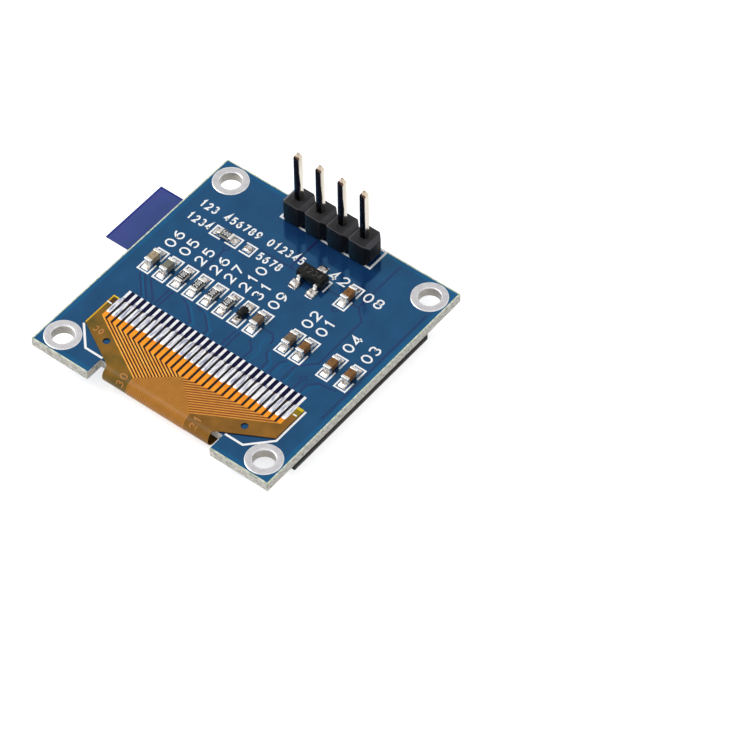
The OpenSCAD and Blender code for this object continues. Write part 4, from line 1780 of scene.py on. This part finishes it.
    def punch(self, piece: Piece) -> None:
        """Cuts the locating holes through the sheet.

        Args:
            piece: the sheet, which gets a new mesh.
        """
        up = self.bend_y + self.locating_up
        low, high = self.board.high[2] - 3 * self.sheet, self.board.high[2] + 2 * self.sheet
        turn = np.linspace(0, 2 * math.pi, 32, endpoint=False)
        circle = np.stack([np.cos(turn), np.sin(turn)], -1) * self.locating_r
        pins = []
        for side in (-1, 1):
            flat = circle + (side * self.locating_x, up)
            pins.append([np.column_stack([flat, np.full(len(flat), z)]) for z in (low, high)])
        pin_mesh = new_mesh("locating pins", closed_tubes(np.array(pins)))
        cutter = put_in_scene("locating pins", pin_mesh)
        cut = piece.modifiers.new("Locating holes", "BOOLEAN")
        cut.object, cut.operation, cut.solver = cutter, "DIFFERENCE", "EXACT"
        bpy.context.view_layer.update()
        shown = piece.evaluated_get(bpy.context.evaluated_depsgraph_get())
        punched = bpy.data.meshes.new_from_object(shown)
        piece.modifiers.clear()
        piece.data = punched
        finish_mesh(punched)
        bpy.data.objects.remove(cutter)

    def trace_edges(self, number: np.ndarray, side: int) -> tuple[np.ndarray, np.ndarray]:
        """One edge of each trace on the right of the middle, from its finger to the bend.

        A trace comes straight down from its finger, slants towards the middle at one slope
        and turns straight again where the bundle starts.

        Args:
            number: contact numbers counted from the middle.
            side: -1 for the edge that looks to the middle, 1 for the outer edge.

        Returns:
            x and u at the four corners of that edge, each traces x 4.
        """
        middle = (self.count - 1) / 2
        finger = number * self.contact_pitch + side * self.finger_w / 2
        bundle = number * self.trace_pitch + side * self.trace_w / 2
        turn_u = self.bend_y + self.fan_top - (self.fan_top - self.fan_foot) * number / middle
        rise = -side * self.trace_w / 2 * math.hypot(1, self.fan_slope)

        def slant(x: np.ndarray) -> np.ndarray:
            """Height of this edge of the slant at a distance from the middle."""
            return turn_u + self.fan_slope * (x - number * self.trace_pitch) + rise

        x = np.stack([finger, finger, bundle, bundle], 1)
        top = np.full_like(finger, self.board.high[1] - self.bared)
        u = np.stack([top, slant(finger), slant(bundle), np.full_like(top, self.bend_y)], 1)
        return x, u

    def add_traces(self) -> None:
        """Lays the copper lines on the sheet and rolls them with it."""
        number = np.arange(self.count // 2) + 0.5
        beyond = self.run()[1:]
        run = np.broadcast_to(beyond, (len(number), len(beyond)))
        edges = []
        for side in (-1, 1):
            x, u = self.trace_edges(number, side)
            x = np.concatenate([x, np.repeat(x[:, -1:], run.shape[1], 1)], 1)
            edges.append((x, np.concatenate([u, run], 1)))
        (x_in, u_in), (x_out, u_out) = edges
        ease = 0.02 * MM
        foot, top = self.sheet, self.sheet + self.copper
        x = np.stack([x_in, x_in + ease, x_out - ease, x_out], -1)
        u = np.stack([u_in, u_in, u_out, u_out], -1)
        h = np.array([foot, top, top, foot])
        right = self.wrapped(x, u, h)
        left = right * (-1, 1, 1)
        shape = closed_tubes(np.concatenate([left, right]))
        finish = CoveredCopper(self.layout())
        add_piece("cable_copper", shape, finish, ["flex_traces"])

    def add_joints(self) -> None:
        """Adds the solder over each finger: domed, and drawn down onto the board's contact.

        Across a joint the height follows half a cosine. Along it, its half width and height
        fall towards the board past the sheet's end.
        """
        rng = np.random.default_rng(self.seed)
        end = self.board.high[1]
        along, half, crest = np.array(self.JOINT).T * MM
        foot = np.where(along < 0, self.board.high[2], PAD_TOP)
        bow = np.linspace(-1, 1, 7)
        number = (np.arange(self.count) - (self.count - 1) / 2)[:, None, None]
        stretch = rng.uniform(*self.JOINT_STRETCH, (self.count, 1, 1))
        x = number * self.contact_pitch + half[:, None] * bow
        y = end + along[:, None] * stretch + 0 * bow
        z = foot[:, None] + (crest - foot)[:, None] * np.cos(bow * self.JOINT_BOW) * stretch
        top = np.stack(np.broadcast_arrays(x, y, z), -1)
        floor = top[:, :, [-1, 0]].copy()
        floor[..., 2] = foot[:, None] - self.JOINT_SUNK
        shape = closed_tubes(np.concatenate([top, floor], 2))
        add_piece("cable_joints", shape, DRAWN_SOLDER, ["flex_solder_joints"])

    def add_marks(self) -> None:
        """Adds the copper contact numbers on the margins and the white ticks by the joints."""
        side, top, level = self.board.high[0], self.board.high[1], self.board.high[2]
        margin_y, neck_y = (top - self.number_down) / MM, (self.bend_y - self.number_under) / MM
        marks = [
            Label("30", -9.4, margin_y, **self.SMALL),
            Label("30", -4.1, neck_y, True, **self.LARGE),
            Label("21", 4.3, neck_y + 0.2, True, **self.LARGE),
        ]
        flat = [solid for mark in marks for solid in mark.solids(self.sheet, self.copper)]
        shapes = [(self.wrapped(*points.T), faces) for points, faces in flat]
        add_piece("cable_numbers", merged(shapes), CABLE_INK)
        tick, (left_l, right_l) = top - self.tick_down, self.tick_l
        right = side - self.tick_in
        paths = [[(-side, tick), (left_l - side, tick)], [(right - right_l, tick), (right, tick)]]
        ticks = [line_solid(path, self.tick_w, level, self.copper) for path in paths]
        add_piece("cable_ticks", merged(ticks), LEGEND_INK)


@dataclass(frozen=True)
class ChipPart:
    """A surface-mount chip: a body held between two wrapped metal ends."""

    node: str
    finish: Finish
    slot: str
    ends_l: float = 0.32 * MM
    ease: float = 0.055 * MM
    solder_share: float = 0.42

    @property
    def along(self) -> int:
        """The axis that the chip lies along, 0 for X and 1 for Y."""
        return int(np.argmax(Box.of(f"{self.node}_ends").size[:2]))

    def build(self) -> None:
        """Rounds the body and the two ends."""
        body, ends = Box.of(f"{self.node}_body"), Box.of(f"{self.node}_ends")
        part, axis = self.node, self.along
        block = rounded_block(body.low, body.high, self.ease, axis)
        add_piece(f"{part}_fired_body", block, self.finish, [f"{part}_body"])
        first_high, second_low = ends.high.copy(), ends.low.copy()
        first_high[axis] = ends.low[axis] + self.ends_l
        second_low[axis] = ends.high[axis] - self.ends_l
        corners = [(ends.low, first_high), (second_low, ends.high)]
        shape = merged([rounded_block(low, high, self.ease, axis) for low, high in corners])
        add_piece(f"{part}_plated_ends", shape, CHIP_END, [f"{part}_ends"])

    def fillets(self) -> list[Shape]:
        """The solder that climbs each end of the chip.

        Returns:
            One shape for each end.
        """
        ends, out = Box.of(f"{self.node}_ends"), np.eye(2)[self.along]
        half, height = ends.size[self.along] / 2, self.solder_share * ends.size[2]
        middle = ends.centre[:2]
        return [solder_fillet(middle + side * half * out, side * out, height) for side in (-1, 1)]


def solder_fillet(foot: np.ndarray, out: np.ndarray, height: float) -> Shape:
    """Solder that climbs a chip's end in a hollow curve.

    At a share s of its height it reaches out by reach x (1 - s) squared, and its width
    shrinks a little with s.

    Args:
        foot: (x, y) of the middle of the chip's end face.
        out: unit direction that the face looks in.
        height: how high the solder climbs.

    Returns:
        The points and the faces.
    """
    reach, width, root, least = 0.5 * MM, 0.8 * MM, 0.12 * MM, 0.02 * MM
    corner, narrowing = 0.16 * MM, 0.12
    share = np.array([0, 0.06, 0.16, 0.32, 0.52, 0.76, 1])
    reaches = reach * (1 - share) ** 2 + least
    half_u, half_v = (reaches + root) / 2, width / 2 * (1 - narrowing * share)
    flat = rounded_rings(half_u, half_v, np.full(len(share), corner))
    flat[..., 0] += ((reaches - root) / 2)[:, None]
    side = np.array([-out[1], out[0]])
    spot = foot + flat[..., :1] * out + flat[..., 1:] * side
    z = np.broadcast_to((PAD_TOP + height * share)[:, None, None], (*flat.shape[:2], 1))
    return closed_tubes(np.concatenate([spot, z], -1)[None])


def solder_mound(centre: Sequence[float], half: Sequence[float], height: float) -> Shape:
    """A drop of solder that wets a whole pad and bulges over it.

    With t from 0 to 1, its half width is the pad's times the cosine of t x 80 degrees to the
    power 0.7, and its height the whole height times the sine of t x 90 degrees.

    Args:
        centre: (x, y) of the pad's middle.
        half: the pad's half lengths.
        height: the drop's height over the pad.

    Returns:
        The points and the faces.
    """
    corner, last_turn, fullness = 0.6 * min(half), math.radians(80), 0.7
    turn = np.linspace(0, 1, 9)
    share = np.cos(turn * last_turn) ** fullness
    flat = rounded_rings(half[0] * share, half[1] * share, corner * share, steps=4)
    z = PAD_TOP + height * np.sin(turn * math.pi / 2)
    z = np.broadcast_to(z[:, None, None], (*flat.shape[:2], 1))
    return closed_tubes(np.concatenate([flat + np.asarray(centre), z], -1)[None])


@dataclass
class BoardParts:
    """Everything soldered to the board's face: chips, diode, regulator and spare pads.

    Each drop of solder has half lengths and a height, and sits a gap outside its part.
    """

    lead_ease: float = 0.03 * MM
    mould_ease: float = 0.045 * MM
    diode_round: float = 0.3 * MM
    glaze: float = 0.05 * MM
    lead_half: float = 0.2 * MM
    lead_gap: float = 0.12 * MM
    lead_drop: Point = (0.5 * MM, 0.56 * MM, 0.36 * MM)
    diode_gap: float = 0.16 * MM
    diode_drop: Point = (0.4 * MM, 0.42 * MM, 0.22 * MM)
    spare_drop: Point = (0.45 * MM, 0.39 * MM, 0.2 * MM)
    digit_ink: float = 0.006 * MM
    laser_ridge: float = 0.004 * MM

    # The capacitors' tones, in their nodes' order
    TONES: ClassVar[list[CeramicTone]] = [CeramicTone.TAN, CeramicTone.GREY]
    TONES += [CeramicTone.BROWN] * 2 + [CeramicTone.ORANGE] * 4
    # Sizes of the numbers on a resistor and on the regulator
    RESISTOR_DIGITS: ClassVar[Sizes] = {
        "height": 0.5 * MM,
        "pitch": 0.29 * MM,
        "stroke": 0.055 * MM,
    }
    REGULATOR_DIGITS: ClassVar[Sizes] = {
        "height": 0.66 * MM,
        "pitch": 0.56 * MM,
        "stroke": 0.08 * MM,
    }

    def chips(self) -> list[ChipPart]:
        """The capacitors, then the resistors.

        Returns:
            Thirteen chips in their nodes' order.
        """
        chips = [
            ChipPart(f"capacitor_{number}", SinteredCeramic(tone), f"ceramic_{tone.name.lower()}")
            for number, tone in enumerate(self.TONES, 1)
        ]
        glazed = GlazedAlumina(Box.of("resistor_1_body").high[2] - self.glaze)
        for number in range(1, RESISTORS + 1):
            chips.append(ChipPart(f"resistor_{number}", glazed, "resistor_ceramic"))
        return chips

    def build(self) -> None:
        """Makes the parts, their solder and the resistors' numbers."""
        chips = self.chips()
        for chip in chips:
            chip.build()
        mould, ease, lead_ease = "moulded_epoxy", self.mould_ease, self.lead_ease
        eased_copy("regulator_body", "regulator_moulding", CHIP_EPOXY, ease)
        diode = Box.of("diode_body")
        block = rounded_block(diode.low, diode.high, self.diode_round)
        add_piece("diode_moulding", block, CHIP_EPOXY, ["diode_body"])
        leads = "regulator_leads"
        eased_copy(leads, "regulator_formed_leads", LEAD_FRAME, lead_ease)
        eased_copy("diode_leads", "diode_flat_leads", LEAD_FRAME, lead_ease / 2)
        keep_node("component_pads", LEVELLED_TIN)
        shapes = [shape for chip in chips for shape in chip.fillets()] + self.mounds()
        add_piece("part_solder", merged(shapes), REFLOWED_SOLDER, ["component_solder"])
        self.add_digits()

    def mounds(self) -> list[Shape]:
        """Solder on the regulator's three leads, the diode's two and the spare pads.

        Returns:
            One shape for each drop.
        """
        leads, diode = Box.of("regulator_leads"), Box.of("diode_leads")
        x, y = Box.of("regulator_body").centre[:2]
        foot = leads.size[1] / 2 + self.lead_gap
        left, right = leads.low[0] + self.lead_half, leads.high[0] - self.lead_half
        feet = [(left, y - foot), (right, y - foot), (x, y + foot)]
        drops = [(spot, self.lead_drop) for spot in feet]
        reach = diode.size[1] / 2 + self.diode_gap
        for side in (-1, 1):
            drops.append((diode.centre[:2] + (0, side * reach), self.diode_drop))
        drops.append((spare_pads(), self.spare_drop))
        return [solder_mound(spot, drop[:2], drop[2]) for spot, drop in drops]

    def add_digits(self) -> None:
        """Prints a plain number on each resistor and marks one in the regulator."""
        shapes = []
        for number in range(1, RESISTORS + 1):
            body = Box.of(f"resistor_{number}_body")
            upright = bool(body.size[1] > body.size[0])
            label = Label(f"{number}00", *(body.centre[:2] / MM), upright, **self.RESISTOR_DIGITS)
            shapes += label.solids(body.high[2], self.digit_ink)
        add_piece("resistor_numbers", merged(shapes), LEGEND_INK)
        regulator = Box.of("regulator_body")
        label = Label("1234", *(regulator.centre[:2] / MM), **self.REGULATOR_DIGITS)
        marks = label.solids(regulator.high[2], self.laser_ridge)
        add_piece("regulator_number", merged(marks), LASER_MARK)


@dataclass
class DisplayPanel:
    """The glass panel under the board, with its film, tape and driver chip."""

    ease: float = 0.06 * MM

    def build(self) -> None:
        """Eases the cut glass and dresses the sheets."""
        for node, name in (("rear_glass", "seal_glass"), ("front_glass", "pixel_glass")):
            eased_copy(node, name, PANEL_GLASS, self.ease)
        film, glass = Box.of("protective_film"), Box.of("front_glass")
        corners = [tuple(corner[:2]) for corner in (film.low, film.high, glass.low, glass.high)]
        finishes = {
            "polarizer": POLARIZER,
            "protective_film": PullFilm(*corners),
            "adhesive_tape": FOAM_TAPE,
            "driver_chip": SILICON,
        }
        for node, finish in finishes.items():
            keep_node(node, finish)


# ---------------------------------------------------------------- studio


def staged_square(name: str, paint: str, half: float, height: float) -> tuple[Piece, Tree]:
    """Lays a level square of the studio, centred on the upright axis.

    Args:
        name: the square's name.
        paint: its material's name.
        half: half its side.
        height: how high it lies.

    Returns:
        The new object and its material's empty node tree.
    """
    mesh = bpy.data.meshes.new(name)
    corners = [(-half, -half), (half, -half), (half, half), (-half, half)]
    mesh.from_pydata([(x, y, height) for x, y in corners], [], [[0, 1, 2, 3]])
    material = bpy.data.materials.new(paint)
    mesh.materials.append(material)
    square = put_in_scene(name, mesh)
    return square, emptied_tree(material)


def aim(thing: Piece, place: Point, facing: str) -> None:
    """Puts a thing in its place and turns one of its axes to the origin."""
    thing.location = place
    thing.rotation_euler = (-Vector(place)).to_track_quat(facing, "Y").to_euler()


def seen_directly(tree: Tree) -> Socket:
    """1 for rays from the eye, from a gloss or through glass, and 0 for diffuse light.

    Args:
        tree: the node tree that asks.

    Returns:
        The value, as the largest of the three kinds' own.
    """
    path = add_node(tree, "LightPath")
    share = path.outputs["Is Camera Ray"]
    for name in ("Is Glossy Ray", "Is Transmission Ray"):
        both = {0: share, 1: path.outputs[name]}
        share = add_node(tree, "Math", both, operation="MAXIMUM").outputs[0]
    return share


@dataclass
class Studio:
    """A white table in a white room, under one large soft lamp at the left."""

    ambient: float = 0.58
    lamp_watts: float = 3.4
    lamp_size: float = 0.5
    lamp_at: Point = (-0.5, -0.12, 0.62)
    table_half: float = 1.5
    table_gap: float = 0.02 * MM
    table_grey: float = 0.8
    table_glow: float = 0.7
    card_size: float = 0.34
    card_at: Point = (-0.31, 0.4, 0.6)
    card_grey: float = 0.66

    def build(self) -> None:
        """Makes the table, the room's light, the lamp and the card."""
        self.add_table()
        self.light_room()
        data = bpy.data.lights.new("soft box", "AREA")
        data.energy, data.size, data.shape = self.lamp_watts, self.lamp_size, "DISK"
        aim(put_in_scene("soft box", data), self.lamp_at, "-Z")
        self.add_card()

    def add_card(self) -> None:
        """Hangs a grey card where it only shows as a reflection in the module's flat tops."""
        card, tree = staged_square("grey card", "grey card", self.card_size / 2, 0)
        grey = (self.card_grey,) * 3 + (1,)
        light = add_node(tree, "Emission", {"Color": grey, "Strength": 1.0})
        add_node(tree, "OutputMaterial", {"Surface": light.outputs[0]})
        aim(card, self.card_at, "Z")
        card.visible_camera = card.visible_diffuse = card.visible_shadow = False

    def add_table(self) -> None:
        """Lays the table a hair under the module's lowest face."""
        height = Box.of("protective_film").low[2] - self.table_gap
        _, tree = staged_square("table", "matt white table paint", self.table_half, height)
        glow = {"Value": seen_directly(tree), "To Max": self.table_glow}
        inputs = {
            "Base Color": (self.table_grey,) * 3 + (1,),
            "Roughness": 0.9,
            "Specular IOR Level": 0.0,
            "Emission Color": (1, 1, 1, 1),
            "Emission Strength": add_node(tree, "MapRange", glow).outputs[0],
        }
        shader = add_node(tree, "BsdfPrincipled", inputs)
        add_node(tree, "OutputMaterial", {"Surface": shader.outputs[0]})

    def light_room(self) -> None:
        """Fills the room with plain white light, and shows it as white."""
        world = bpy.data.worlds.new("white room")
        tree = emptied_tree(world)
        level = {"Value": seen_directly(tree), "To Min": self.ambient, "To Max": 1.0}
        strength = add_node(tree, "MapRange", level).outputs[0]
        light = add_node(tree, "Background", {"Color": (1, 1, 1, 1), "Strength": strength})
        add_node(tree, "OutputWorld", {"Surface": light.outputs[0]})
        bpy.context.scene.world = world


@dataclass
class Viewpoint:
    """The camera: what it looks at, from which side, how far away and with which lens."""

    target: Point = (13.407 * MM, 1.617 * MM, 0.0)
    azimuth: float = math.radians(38.29)
    elevation: float = math.radians(50.13)
    roll: float = math.radians(-0.35)
    distance: float = 349.36 * MM
    lens_mm: float = 188.24
    sensor_mm: float = 36.0
    clip: Pair = (0.01, 10.0)

    def build(self) -> None:
        """Places the camera and makes it the scene's own."""
        data = bpy.data.cameras.new("camera")
        data.lens, data.sensor_width = self.lens_mm, self.sensor_mm
        data.clip_start, data.clip_end = self.clip
        camera = put_in_scene("camera", data)
        level = math.cos(self.elevation)
        side, ahead = -math.sin(self.azimuth) * level, math.cos(self.azimuth) * level
        forward = Vector((side, ahead, -math.sin(self.elevation)))
        turn = forward.to_track_quat("-Z", "Y") @ Quaternion((0, 0, 1), self.roll)
        camera.rotation_euler = turn.to_euler()
        camera.location = Vector(self.target) - forward * self.distance
        bpy.context.scene.camera = camera


def main() -> None:
    """Builds the camera, then the module piece by piece and the studio, and logs what each adds."""
    logging.basicConfig(level=logging.INFO, format="%(name)s: %(message)s")
    bpy.context.scene.view_settings.view_transform = "Standard"
    for assembly in (
        Viewpoint(),
        CircuitBoard(),
        MountingRings(),
        PinHeader(),
        FlexCable(),
        BoardParts(),
        DisplayPanel(),
        Studio(),
    ):
        before = set(bpy.data.objects)
        assembly.build()
        added = sorted(piece.name for piece in set(bpy.data.objects) - before)
        LOG.info("%s: %s", type(assembly).__name__, ", ".join(added) or "CAD nodes dressed")


if __name__ == "__main__":
    main()
